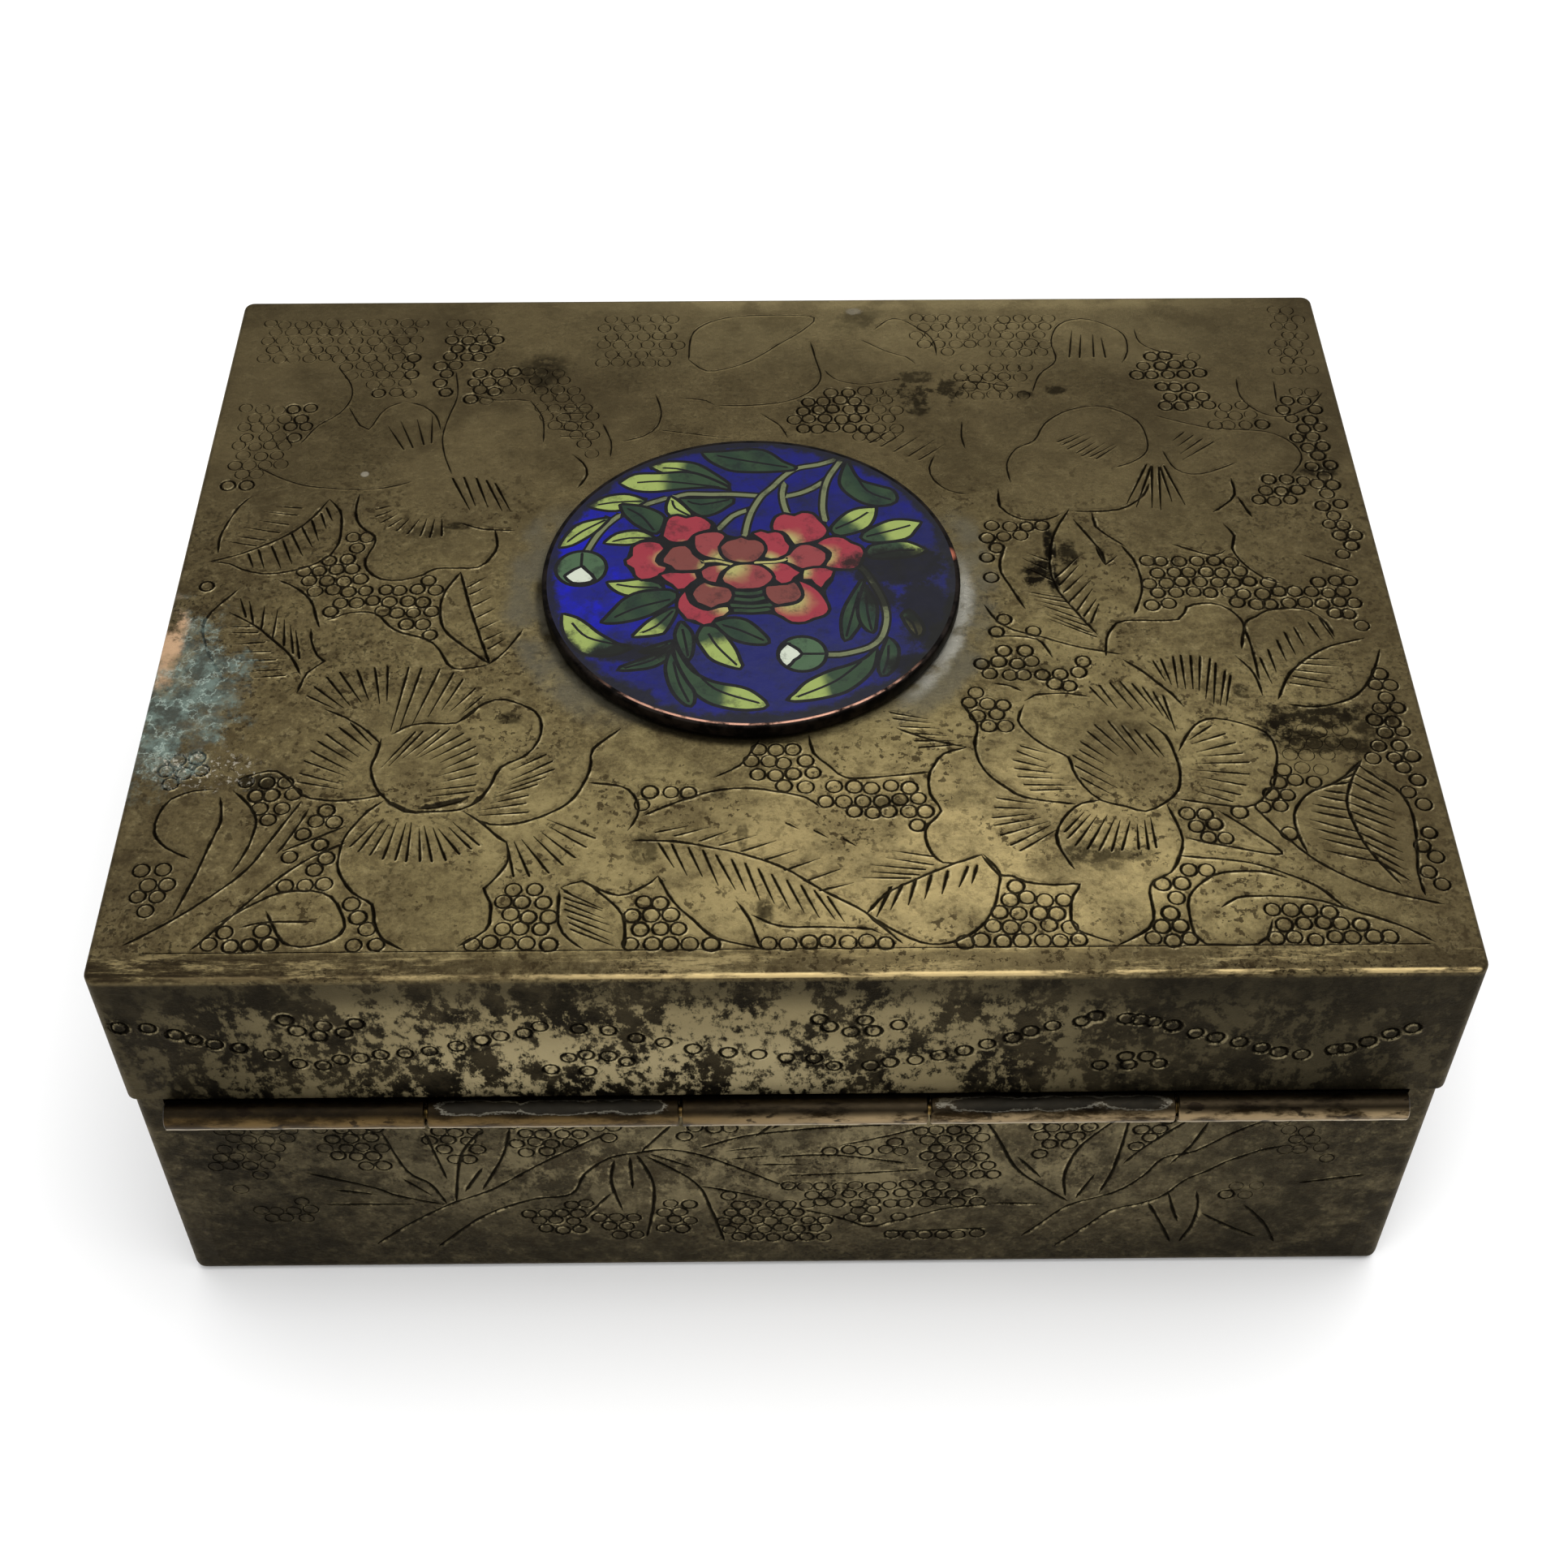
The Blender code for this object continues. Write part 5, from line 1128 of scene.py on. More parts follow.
edges = [dish.edges.new((a, b)) for a, b in zip(verts, verts[1:])]
bmesh.ops.spin(dish, geom=[*verts, *edges], cent=MEDALLION, axis=(0, 0, 1), angle=math.tau,
               steps=AROUND, use_merge=True)
bmesh.ops.remove_doubles(dish, verts=dish.verts, dist=1e-7)
bmesh.ops.recalc_face_normals(dish, faces=dish.faces)
for face in dish.faces:
    face.smooth = True
settle("medallion_dish", dish, copper.material, body="lid", node="medallion_plate", slot="rim_copper")

# The picture is cloisonne: copper wires bent to the drawing of two peony blooms, leaves and buds
# are fixed in the dish, the cells are filled with coloured glass, fired and ground level.
RED, ROSE, DEEP, YOLK = linear(126, 40, 50), linear(116, 48, 50), linear(98, 50, 45), linear(144, 138, 84)
LIME, GREEN = linear(126, 140, 74), linear(36, 54, 35)
OLIVE, WHITE = linear(92, 97, 68), linear(172, 178, 162)
BLUE_GREEN, BUD_GREEN = linear(24, 42, 30), linear(58, 80, 56)
COBALT, WIRE = linear(6, 10, 110), linear(7, 7, 8)
WIRE_WIDTH = 0.76
# Stems: olive glass between two wires
VINES = (
    (-13.5, 8.7, -14.6, 7.4, -15.6, 5.6, -16.5, 3.3), (-10.9, 10.4, -8.7, 11.4),
    (-7.6, 11.6, -6.5, 12, -4, 11.9, -2, 11.9, 0.9, 11.6),
    (-0.6, 9.3, -1.9, 8.5, -3.3, 6.5),
    (8.7, 17.4, 7, 16.6, 5, 16.1, 4, 15.4, 3, 14.2, 2.2, 13, 1.2, 11.8, 0.6, 10.6,
     0, 9, -0.4, 7.2, -0.6, 5.7),
    (3.4, 13.4, 3.2, 12, 3.3, 10.5, 3.6, 9.1), (7.3, 13.7, 6.3, 12.8, 5, 12, 3.8, 11.6),
    (9.3, 17.2, 8.6, 15.8, 8, 14.5, 7.6, 13, 7.4, 11.5, 7.3, 9.5, 7.5, 7.8),
    (7, -11.4, 8.5, -11.4, 10, -11, 11.4, -10.4, 12.4, -9.4, 12.9, -8.2, 13.2, -6.5, 13.1, -4.8,
     12.7, -3.2, 12.1, -1.6, 11.3, 0.2, 10.8, 0.9),
)
# Leaves: outline, the far and near colour, and the point and direction where they meet
BLADES = (
    ((-10.3, 16.5, -8.8, 17.1, -6, 16.8, -4, 15.2, -2.4, 13.3, -6, 15.2, -8.5, 15.3),
     LIME, (-7.3, 16), (-1, 0.2)),
    ((-13.4, 13.9, -12, 15.1, -9.5, 15.2, -6, 15.2, -2.4, 12.9, -4, 13.2, -7, 13, -10, 12.6, -12, 12.9),
     LIME, (-8.9, 14), (-1, 0)),
    ((-16.5, 10.4, -15.3, 11.4, -14, 11.9, -12.5, 11.9, -10.9, 11, -11.5, 10.5, -13.8, 9.7, -15.6, 10),
     LIME, (-11.5, 10.7), (-1, 0)),
    ((-19.1, 4.3, -18.7, 5.5, -18, 6.8, -17, 7.7, -14.5, 8.4, -14.7, 8.1, -16, 6.3, -18, 4.6),
     LIME, (-15, 8), (-1, -1)),
    ((-13.2, 10.4, -12.9, 9.3, -12.2, 8.2, -11.3, 7.2, -9.6, 6.1, -9, 7.6, -8.9, 8.3, -9.4, 9,
      -10.8, 9.9, -12.3, 10.3), GREEN, (0, 0), (1, 0)),
    ((-8.2, 11.5, -8.5, 10, -8.1, 8.7, -6.1, 8.5, -6.7, 9.7, -7.7, 11), LIME, (-7.4, 8.8), (0, 1)),
    ((-7.2, 11.2, -5.5, 11.2, -1.9, 11.1, -2.6, 10, -3.8, 9, -5, 8.7, -6, 9.5, -6.5, 10.2),
     GREEN, (0, 0), (1, 0)),
    ((-14.6, 4.7, -13.5, 5.9, -11.5, 6.3, -9.9, 5.3, -11.6, 4.7, -12.5, 4.5), LIME, (-10.5, 5.2), (-1, 0)),
    ((-5, 18.6, -3, 18.7, 0.5, 19, 2, 18.3, 3.2, 17, 4.5, 16, 2, 15.6, -1.5, 15.7, -3, 16.4, -4.2, 17.4),
     GREEN, (0, 0), (1, 0)),
    ((10, 17, 9.3, 13.5, 11, 11, 13, 10.2, 14.7, 10.8, 14.5, 12.4, 13, 13.1, 11, 14.2),
     GREEN, (0, 0), (1, 0)),
    ((12.6, 9.7, 11, 9.5, 9.8, 8.8, 8.6, 7.3, 8.2, 6.3, 9, 5.6, 11.3, 6.5, 12.1, 7.5, 12.5, 8.7),
     LIME, (10.2, 7.6), (1, 0.8)),
    ((17.1, 7.5, 15.5, 7.8, 14, 7.6, 12, 6.3, 11.2, 5.2, 12.5, 4.6, 15.5, 5.2, 16.5, 6.5),
     LIME, (13.5, 6.2), (1, 0.3)),
    ((17.4, 3.4, 16.2, 4.2, 15, 4.5, 12, 3.8, 11.8, 2.5, 13, 2.2, 16.3, 2.6), LIME, (15.6, 3.9), (1, 0.6)),
    ((-14.1, -1.2, -12.5, -1.1, -11, -0.9, -9.8, -1.2, -8.8, -2, -10.8, -2.9, -12.4, -2.8, -13.5, -2),
     LIME, (-10.8, -1.8), (-1, 0.1)),
    ((-14.4, -6.7, -13.3, -5, -12.3, -3.6, -10.8, -2.7, -8, -2.5, -7.4, -3.5, -9.3, -5.3, -11, -6.2,
      -13, -6.7), GREEN, (0, 0), (1, 0)),
    ((-11.3, -8.7, -9.7, -6.6, -7.4, -5, -8.3, -7.8, -9, -8.4), LIME, (-9.2, -7), (-1, -0.8)),
    ((-18.3, -5.6, -17, -6.2, -15.8, -7.3, -14.9, -8.3, -12.8, -9.9, -11.7, -10.2, -13.5, -11.1,
      -15.8, -10.9, -16.9, -10, -17.7, -8.8, -18.2, -7.2), LIME, (-15.2, -9.8), (-1, 0.6)),
    ((-7.7, -9.6, -9, -10.1, -10.5, -10.8, -8.5, -10.6), GREEN, (0, 0), (1, 0)),
    ((-7.6, -10.2, -9, -11.3, -11.3, -12.4, -12.5, -13.1, -10, -12.9, -8.6, -12.2, -7.7, -11.2),
     GREEN, (0, 0), (1, 0)),
    ((-6.8, -7, -7.2, -8.6, -6.7, -10.6, -6, -11.8, -5.7, -10, -5.9, -8.3), GREEN, (0, 0), (1, 0)),
    ((-4.6, -7.5, -5.1, -9, -4.5, -10.5, -3.5, -12, -1.1, -13.1, -1.2, -12.2, -1.6, -10.8, -2.4, -9.2,
      -3.3, -7.8), LIME, (-3.4, -9.5), (0.3, -1)),
    ((-3.5, -7, -2, -6.5, -0.6, -6.8, 0.6, -8, 1.6, -9.7, 0, -9.8, -1.6, -9.2, -2.6, -8.2),
     GREEN, (0, 0), (1, 0)),
    ((-7.3, -10.5, -6.4, -12.5, -5.5, -13.8, -4, -14.9, -2.6, -15.4, -1, -15.8, 0.2, -16.5, 1.4, -18,
      0, -18.4, -1.5, -18.3, -3, -17.9, -4, -17.4, -5, -16.5, -5.9, -15.2, -6.7, -13.6),
     LIME, (-2.4, -17), (1, -0.2)),
    ((-7.7, -11, -8, -13, -7.6, -15.2, -6.8, -16.9, -5.7, -17.9, -5.5, -16.4, -6.2, -15, -7, -13.2),
     GREEN, (0, 0), (1, 0)),
    ((11, -1.2, 10, -3.3, 9.2, -5.3, 8.9, -7.2, 9.1, -9.4, 9.8, -8.5, 10.5, -7, 10.7, -4.5),
     GREEN, (0, 0), (1, 0)),
    ((11.2, -2, 10.6, -4.8, 10.8, -7, 11.7, -8.3, 12, -7, 12.1, -4.5), GREEN, (0, 0), (1, 0)),
    ((12, -10.8, 11, -12, 9.5, -12.9, 7.8, -13.6, 6.4, -14.4, 5.2, -15.3, 4.3, -16.5, 3.7, -17.3,
      5.5, -17.2, 7.2, -16.8, 8.8, -16.2, 10.3, -14.9, 11.5, -13.2), LIME, (7, -15), (-1, -0.2)),
    ((13.3, -9.2, 12.7, -11, 12.3, -12.8, 12.5, -14.1, 13.2, -13.6, 13.8, -12.5, 14, -10.5),
     GREEN, (0, 0), (1, 0)),
    ((14.8, -6, 15.3, -7.5, 16.1, -8.8, 16.6, -8, 16.2, -6.6, 15.4, -5.4), YOLK, (15, -7.2), (0, -1)),
)
# Petals from the back to the front: outline, colour, and where its foot pales to yellow
BLOOM = (
    ((-8.8, 5.6, -8.6, 7, -8.3, 8.2, -7.5, 8.6, -6.6, 8.2, -5.6, 8.5, -4.7, 8, -4.1, 7.2, -4.2, 6.6,
      -5.3, 6.2, -6, 5.6, -6.4, 4.9, -7.5, 4.7, -8.3, 5), RED, (-7, 4.2), 0.6),
    ((-12.4, 2, -11.8, 2.7, -11.8, 3.9, -11, 4.6, -10.2, 4.7, -9.2, 4.4, -8.8, 3.7, -9.4, 2.8,
      -9.6, 1.8, -9.2, 1.2, -8.5, 0.9, -8.9, 0.1, -10, -0.6, -10.8, -0.7, -11.4, -0.1, -11.6, 0.9,
      -12.3, 1.5), RED, (-8.6, 2.2), 1.3),
    ((-8.7, 2.2, -8.3, 3, -7.8, 3.8, -6.6, 4, -6.1, 3.4, -5.9, 2.8, -5.2, 2, -4.6, 1.6, -5, 0.7,
      -6.4, 0.5, -7.5, 0.6, -7.9, 1.2, -8.7, 1.7), DEEP, (-4.6, 0.9), 0.8),
    ((-5.6, 5.5, -4.8, 5.9, -3.4, 6, -2.7, 5.4, -3.1, 4.6, -3.3, 3.6, -3, 2.7, -2.2, 1.8, -3.5, 2.2,
      -4.6, 2.6, -5.3, 3.3, -5.6, 4.2), ROSE, (-3, 2), 1.4),
    ((0.3, 5.8, 1, 6.1, 1.7, 5.8, 2.6, 6, 3.2, 5.4, 3.4, 4.6, 3.8, 3.9, 3.5, 2.8, 2.7, 2.2, 2, 2.1,
      1.4, 2.3, 1.6, 3.4, 1.4, 4.6), RED, (1.8, 1.9), 1.2),
    ((-3, 3.8, -2.4, 4.6, -1.6, 4.9, -1, 5.2, -0.3, 4.8, 0.4, 4.8, 1.1, 4.3, 1.3, 3.4, 0.9, 2.4,
      0.2, 1.7, -1, 1.6, -2.2, 2, -2.8, 2.8), DEEP, (-1, 1), 0.9),
    ((2.3, 7.3, 2.6, 8.2, 3.4, 8.7, 4.4, 8.4, 5.2, 8.9, 6.2, 8.7, 6.7, 7.9, 7.3, 7, 7.6, 6.2, 7.2, 5.3,
      6.3, 4.7, 5.2, 4.4, 4.4, 4.2, 4.1, 4.8, 3.8, 5.5, 3.2, 6.2, 2.3, 6.4), RED, (3.6, 4.6), 1.7),
    ((6.7, 4.3, 7.4, 4.9, 8.3, 5.2, 9.3, 5, 10, 4.3, 10.9, 3.8, 11.2, 2.9, 10.9, 1.9, 10.6, 1, 9.8, 0.6,
      8.5, 0.7, 7.5, 1, 7.9, 1.9, 8.1, 2.9, 7.5, 3.7), RED, (7.2, 2.4), 1.6),
    ((3, 2, 3.9, 2.6, 4.3, 3.3, 5, 4, 5.9, 4, 6.6, 3.6, 7.4, 2.8, 7.4, 2, 6.9, 1.1, 6, 0.6, 5, 0.7,
      4.3, 1.2, 3.6, 1.6), ROSE, (3.2, 1.4), 1.2),
    ((-8.9, -0.2, -8, 0.1, -6.8, 0, -5.6, 0, -5.4, -0.7, -6, -1.3, -6.6, -2.1, -7.2, -2.2, -7.7, -1.5,
      -8.4, -0.9), RED, (-5, 0), 0.9),
    ((-4.9, 0.3, -4.2, 0.9, -3, 1.1, -2.3, 1, -3, 0.3, -3.3, -0.5, -3.5, -1.3, -4.2, -1.1, -4.7, -0.6),
     ROSE, (-2.6, 1), 0.9),
    ((5.3, 0.3, 6.2, 0.6, 7.4, 0.6, 8.1, 0.2, 7.9, -0.5, 7.3, -1.3, 6.9, -2.1, 6.4, -1.6, 6, -0.9,
      5.2, -0.9), RED, (5, 0), 1.2),
    ((-6.5, -2.7, -7, -3.6, -7.1, -4.8, -6.6, -5.7, -6.2, -6.4, -5.4, -6.6, -4.6, -7.2, -3.9, -7,
      -3.5, -6.3, -2.7, -6, -2.2, -5.4, -2.3, -4.9, -3.2, -5, -4.2, -5.4, -5.2, -5, -6, -4.3,
      -6.3, -3.6), RED, (-2.4, -4.6), 1.6),
    ((4.8, -1.3, 5.8, -1.9, 6.6, -2.8, 7.2, -4, 7.5, -5.2, 7, -6, 6, -6.4, 5.2, -6.9, 4, -6.9,
      3.2, -6.2, 2.6, -5.8, 2.3, -5, 3.5, -4.8, 4.6, -4.4, 5.2, -3.6, 5.2, -2.5), RED, (4, -4), 2.0),
    ((-5.7, -3, -5.4, -2.2, -4.6, -1.4, -3.9, -1.8, -3, -2, -2.2, -2.3, -1.9, -3.2, -2.3, -4.1,
      -3.2, -4.4, -3.9, -4.9, -4.5, -4.5, -5.2, -4.1), DEEP, (-3.8, -1.4), 0.6),
    ((1.5, -2, 2.5, -1.9, 3.4, -1.7, 4.2, -1.4, 4.7, -2.3, 4.9, -3.2, 4.4, -4, 3.4, -4.3, 2.7, -4.5,
      2, -4, 1.5, -3), DEEP, (3, -1.2), 0.6),
    ((1, 1.3, 2.4, 1.4, 3.5, 1.2, 4.2, 0.5, 4.8, 0, 4.2, -0.6, 3.9, -1.2, 3, -1.5, 2.5, -1, 2.3, -0.1,
      1.8, 0.7), RED, (1.4, 1.3), 1.3),
    ((-2.8, -0.8, -2.4, 0.2, -1.6, 1, -0.4, 1.2, 0.8, 1, 1.6, 0.3, 2.1, -0.6, 1.6, -1.5, 0.8, -2.1,
      -0.4, -2.2, -1.4, -2.2, -2, -1.7, -2.6, -1.3), ROSE, (-1.9, 0.8), 1.9),
)
BEHIND = (-12.2, 1.6, -11.4, 4.4, -9, 5.4, -8.4, 7.8, -6.5, 8.2, -4.2, 7.6, -3.4, 5.8, -1, 4.9, 0.6, 5.4,
          2.6, 6, 2.6, 8, 4.4, 8.5, 6.4, 8.4, 7.4, 6.2, 7.8, 5, 10, 4.1, 11, 2.8, 10.4, 0.9, 8, 0.4,
          7.8, -1, 7, -2.6, 7.3, -5, 6.2, -6.3, 4, -6.7, 2.2, -5.6, 0, -5.6, -2.2, -5.6, -4.4, -7,
          -6.2, -6.2, -7, -4.6, -6.6, -2.6, -8.8, -1, -10.8, -0.6, -11.8, 0.8)
SLIVERS = (((-4.7, 1.7, -3.5, 1.8, -2, 1.3), 0.3), ((0.5, 1.5, 2.5, 1.6, 3.4, 1.9), 0.3))
CALYX = ((-2, -2.8, 0, -3, 1.4, -2.6), (-2, -3.6, 0, -3.9, 1.4, -3.5), (-1.9, -4.6, 0, -4.8, 1.8, -4.6),
         (-1.4, -5.3, 0.2, -5.4, 1.6, -5.2))
# Buds: middle, radius, the white petal's outline, and where the wire that parts the bud ends
BUDS = (
    ((-16.9, 1.0), 2.35, (-18.3, -0.1, -17.5, 0.7, -16.9, 1.1, -16.5, 0.6, -15.7, -0.5, -16.4, -0.95,
                          -17.6, -0.9), (-16.9, 3.2)),
    ((4.9, -11.3), 2.15, (3.5, -10.1, 2.9, -10.9, 2.8, -11.8, 3.4, -12.8, 4, -12, 4.7, -11.3, 4, -10.5),
     (7, -11.3)),
)
glass_radius = (DISH - RIM_WIDTH) / MM
layers = []


def band(line, width):
    """The two sides of a wire or stem laid along a line, and a test for what lies on it."""
    sides = []
    for hand in (-1, 1):
        side_line = []
        for index, point in enumerate(line):
            way = line[min(index + 1, len(line) - 1)] - line[max(index - 1, 0)]
            way.normalize()
            side_line.append(point + Vector((-way.y, way.x)) * hand * width / 2)
        sides.append(side_line)

    def covers(places):
        near_line = np.full(len(places), 1e9)
        for a, b in zip(line, line[1:]):
            origin, run = np.array(a), np.array(b - a)
            t = np.clip((places - origin) @ run / max(run @ run, 1e-9), 0, 1)
            near_line = np.minimum(near_line, np.linalg.norm(places - origin - t[:, None] * run, axis=1))
        return near_line < width / 2 * 1.02
    return sides, covers


def cell(flat, colour):
    """A closed wire and the glass inside it, which hides the wire's inner half."""
    loop = curve((*flat, flat[0], flat[1]), 0.55)[:-1]
    wire([*loop, loop[0], loop[1]])

    def covers(places):
        inside = np.zeros(len(places), bool)
        for a, b in zip(loop, [*loop[1:], loop[0]]):
            crosses = (a.y > places[:, 1]) != (b.y > places[:, 1])
            reach = (b.x - a.x) * (places[:, 1] - a.y) / ((b.y - a.y) or 1e-9) + a.x
            inside ^= crosses & (places[:, 0] < reach)
        return inside
    layers.append(([[*loop, loop[0]]], covers, colour))


def plain(colour):
    return lambda places: np.tile(colour, (len(places), 1))


def wire(line, width=WIRE_WIDTH, colour=plain(WIRE)):
    sides, covers = band(line, width)
    layers.append((sides, covers, colour))


def blend(first, second, share):
    return np.array(first) + (np.array(second) - np.array(first)) * np.clip(share, 0, 1)[:, None]


def leaf_glass(colour, place, way):
    """Green leaves wander between two greens, and the others change colour across a line."""
    if colour == GREEN:
        return lambda places: blend(GREEN, BLUE_GREEN, np.sin(places[:, 0] * 1.7 + places[:, 1]) * 0.5 + 0.5)
    way = np.array(Vector(way).normalized())
    return lambda places: blend(GREEN, colour, ((places - np.array(place)) @ way) / 0.8 + 0.5)


def petal_glass(colour, foot, spread):
    """A petal pales to yellow within a spread about its foot."""
    def tinted(places):
        gap = np.linalg.norm(places - np.array(foot), axis=1)
        return blend(YOLK, colour, (gap - spread * 0.4) / (spread * 0.75))
    return tinted


for vine in VINES:
    line = curve(vine, 0.7)
    wire(line, 1.0)
    wire(line, 0.5, plain(OLIVE))
for outline, colour, place, way in BLADES:
    cell(outline, leaf_glass(colour, place, way))
    points = [Vector(pair) for pair in zip(outline[::2], outline[1::2])]
    far = max(points, key=lambda point: (point - points[0]).length)
    if (far - points[0]).length > 2.4:
        side_a = points[1:points.index(far)] or [points[0]]
        side_b = points[points.index(far) + 1:] or [points[0]]
        middle = (sum(side_a, Vector((0, 0))) / len(side_a) + sum(side_b, Vector((0, 0))) / len(side_b)) / 2
        start_rib, stop_rib = points[0].lerp(middle, 0.35), far.lerp(middle, 0.15)
        wire(curve((*start_rib, *middle, *stop_rib), 0.7), 0.26)
for (x0, y0), radius, white, split in BUDS:
    ring = [component for step in range(16) for component in
            (x0 + radius * math.cos(math.tau * step / 16), y0 + radius * math.sin(math.tau * step / 16))]
    cell(tuple(ring), plain(BUD_GREEN))
    wire(curve((x0, y0, *split), 0.7), 0.3)
    cell(white, plain(WHITE))
cell(BEHIND, plain(WIRE))
for line in CALYX:
    wire(curve(line, 0.5), 0.9)
    wire(curve(line, 0.5), 0.42, plain(GREEN))
for outline, colour, foot, spread in BLOOM:
    cell(outline, petal_glass(colour, foot, spread))
for line, width in SLIVERS:
    wire(curve(line, 0.5), width + 0.3)
    wire(curve(line, 0.5), width, plain(YOLK))

places = [Vector((glass_radius * math.cos(math.tau * step / AROUND),
                  glass_radius * math.sin(math.tau * step / AROUND))) for step in range(AROUND)]
edges = [(step, (step + 1) % AROUND) for step in range(AROUND)]
for sides, *_ in layers:
    for line in sides:
        first = len(places)
        places.extend(line)
        edges.extend((index, index + 1) for index in range(first, len(places) - 1))
pitch = 0.75
for row in range(-27, 28):
    for column in range(-27, 28):
        spot = Vector((column + random.uniform(-0.3, 0.3), row + random.uniform(-0.3, 0.3))) * pitch
        if spot.length < glass_radius - 0.5:
            places.append(spot)
flat, _, triangles, *_ = delaunay_2d_cdt(places, edges, [], 1, 1e-4)
flat = np.array([tuple(place) for place in flat])
triangles = np.array([tuple(triangle) for triangle in triangles if len(triangle) == 3])
middles = flat[triangles].mean(axis=1)
owner = np.full(len(triangles), -1)
colours = np.tile(COBALT, (len(triangles) * 3, 1)).reshape(-1, 3, 4)
for index, (_, covers, _) in enumerate(layers):
    owner[covers(middles)] = index
for index, (_, _, colour) in enumerate(layers):
    own = np.flatnonzero(owner == index)
    if len(own):
        colours[own] = np.array(colour(flat[triangles[own]].reshape(-1, 2))).reshape(-1, 3, 4)
glass = bmesh.new()
tint = glass.loops.layers.float_color.new("tint")
ground = glass.loops.layers.float_color.new("ground")
crowned = DISH_HEIGHT + ENAMEL_CROWN * (1 - (np.linalg.norm(flat, axis=1) / glass_radius) ** 2)
verts = [glass.verts.new(MEDALLION + Vector((px * MM, py * MM, height)))
         for (px, py), height in zip(flat, crowned)]
for triangle, corner_colours, own in zip(triangles, colours, owner):
    face = glass.faces.new([verts[index] for index in triangle])
    face.smooth = True
    for loop, colour in zip(face.loops, corner_colours):
        loop[tint] = colour
        loop[ground] = (1, 1, 1, 1) if own < 0 else (0, 0, 0, 1)
rim = [edge for edge in glass.edges if edge.is_boundary]
skirt = bmesh.ops.extrude_edge_only(glass, edges=rim)["geom"]
dropped = [v for v in skirt if isinstance(v, bmesh.types.BMVert)]
bmesh.ops.translate(glass, vec=(0, 0, -WELL + 0.0001), verts=dropped)
bmesh.ops.holes_fill(glass, edges=[edge for edge in glass.edges if edge.is_boundary], sides=0)
bmesh.ops.recalc_face_normals(glass, faces=glass.faces)

# Burnt oil lies on the enamel: x, y, half width, half height, and how far its edge frays
SMEARS = ((14.2, -5.4, 3.4, 5.4, 2.4), (12.6, -12.4, 2.8, 1.8, 2.4), (-15.0, -10.6, 4.4, 1.3, 2.6),
          (9.4, -3.0, 2.0, 2.4, 2.6))
enamel = Finish("cloisonne_enamel", Metallic=0.0, Specular_IOR_Level=0.2)
gx, gy = enamel.x - DISH_PLACE[0], enamel.y - DISH_PLACE[1]
blue = enamel.layered(
    enamel.mix(enamel.spot(-19.1, 0.3, 6.5, 9, 0.6, 0.8), linear(9, 12, 90), linear(5, 7, 144)),
    (enamel.noise(160, 7.0, rough=0.7).above(0.42, 0.6) * 0.65, linear(15, 18, 50)),
    (enamel.spot(-1, -11, 9, 7, 0.6, 0.8) * 0.5, linear(24, 28, 62)),
)
reach = (gx * gx + gy * gy) ** 0.5 + (enamel.noise(220, 8.0, rough=0.7) - 0.5) * 5
smear = enamel.spot(11.4, 1.2, 5.6, 3.0, 0.25, 2.4)
for sx, sy, wide, high, fray in SMEARS:
    smear = smear.most(enamel.spot(sx, sy, wide, high, 0.3, fray))
tone = enamel.layered(
    enamel.mix(enamel.attribute("ground"), enamel.attribute("tint", "Color"), blue),
    (enamel.noise(500, 7.0, rough=0.75).above(0.5, 0.66) * 0.5, linear(14, 15, 20)),
    (reach.above(18.9, 19.7) * 0.92, linear(14, 14, 16)),
    (smear * 0.93, linear(14, 14, 11)),
)
enamel.send(Base_Color=tone, Roughness=enamel.noise(700, 3.0) * 0.2 + 0.3 + smear * 0.3)
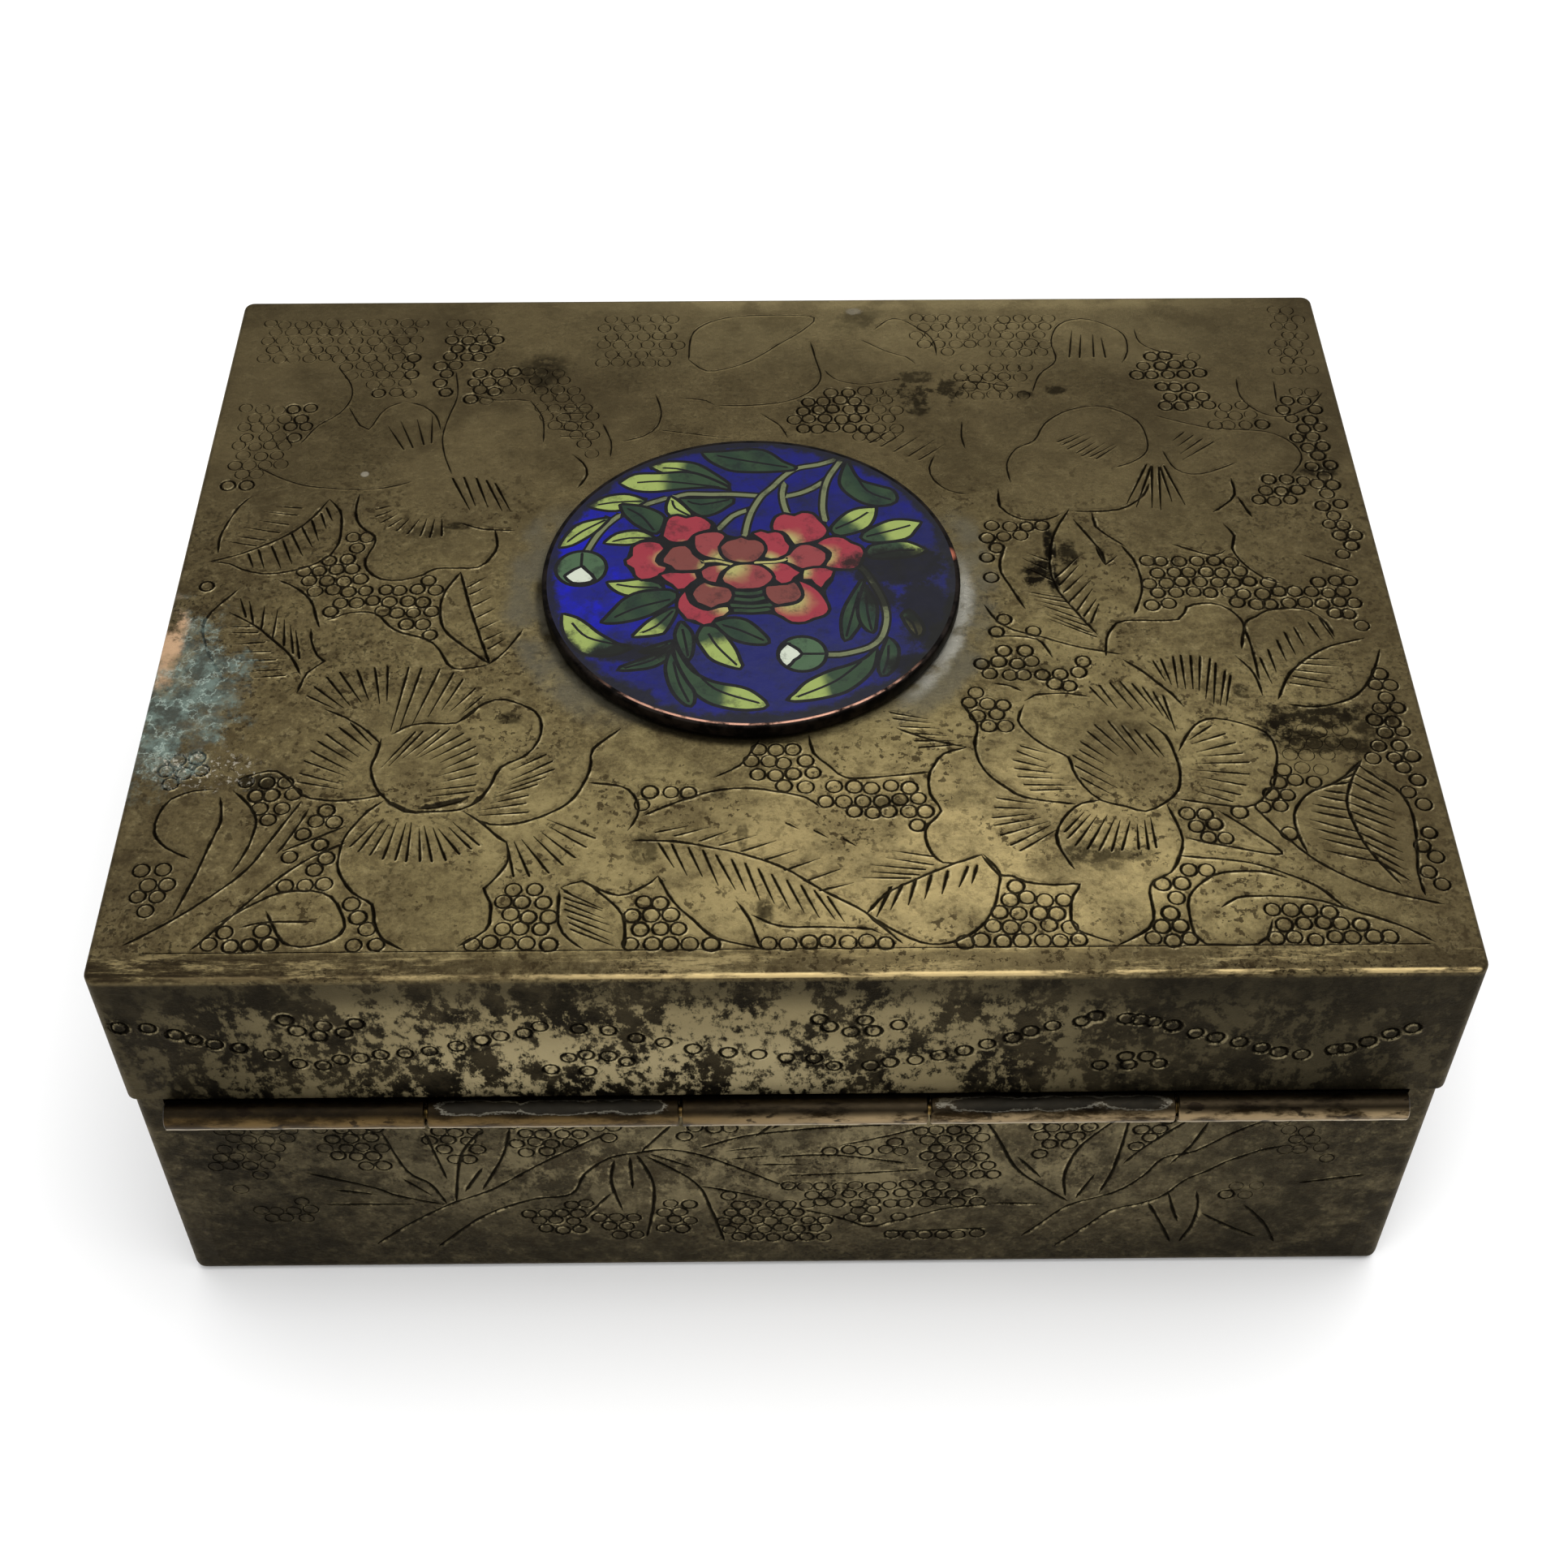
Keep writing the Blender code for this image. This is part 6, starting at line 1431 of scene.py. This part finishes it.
enamel.relief(enamel.noise(800, 3.0) + enamel.noise(180, 2.0) * 2, 0.00004)
settle("medallion_glass", glass, enamel.material, body="lid", node="medallion_enamel", slot="enamel")

# The set: a plain pale floor, soft light from above and the sides, and the photograph's camera
FLOOR_GREY = 0.86
SKY_STRENGTH = 0.4
# Each lamp: name, place, size and power
LAMPS = (("ceiling", (0.14, 0.05, 1.0), 1.1, 13.0), ("window", (-0.8, -0.9, 0.7), 0.8, 8.0))
CAMERA_PLACE = (-0.001481, -0.166388, 0.206543)
CAMERA_TILT = 48.199
CAMERA_TURN = -0.565
floor_paint = Finish("pale_floor", Roughness=0.9)
floor_paint.shader.inputs["Base Color"].default_value = (FLOOR_GREY, FLOOR_GREY, FLOOR_GREY, 1)
floor_mesh = bpy.data.meshes.new("floor")
plane = bmesh.new()
bmesh.ops.create_grid(plane, x_segments=1, y_segments=1, size=3.0)
plane.to_mesh(floor_mesh)
plane.free()
floor_mesh.materials.append(floor_paint.material)
floor = bpy.data.objects.new("floor", floor_mesh)
bpy.context.scene.collection.objects.link(floor)

world = bpy.data.worlds.new("studio")
bpy.context.scene.world = world
world.use_nodes = True
world.node_tree.nodes["Background"].inputs["Color"].default_value = (1, 1, 1, 1)
world.node_tree.nodes["Background"].inputs["Strength"].default_value = SKY_STRENGTH
for name, place, size, power in LAMPS:
    light = bpy.data.lights.new(name, "AREA")
    light.energy = power
    light.size = size
    lamp = bpy.data.objects.new(name, light)
    lamp.location = place
    lamp.rotation_euler = (Vector((0, 0, 0.03)) - Vector(place)).to_track_quat("-Z", "Y").to_euler()
    bpy.context.scene.collection.objects.link(lamp)
bpy.context.scene.view_settings.view_transform = "Standard"

camera = bpy.data.objects.new("camera", bpy.data.cameras.new("camera"))
camera.data.lens = 52.5
camera.data.sensor_width = 36
camera.data.clip_start = 0.01
camera.location = CAMERA_PLACE
camera.rotation_euler = (math.radians(90 - CAMERA_TILT), 0, math.radians(CAMERA_TURN))
bpy.context.scene.collection.objects.link(camera)
bpy.context.scene.camera = camera
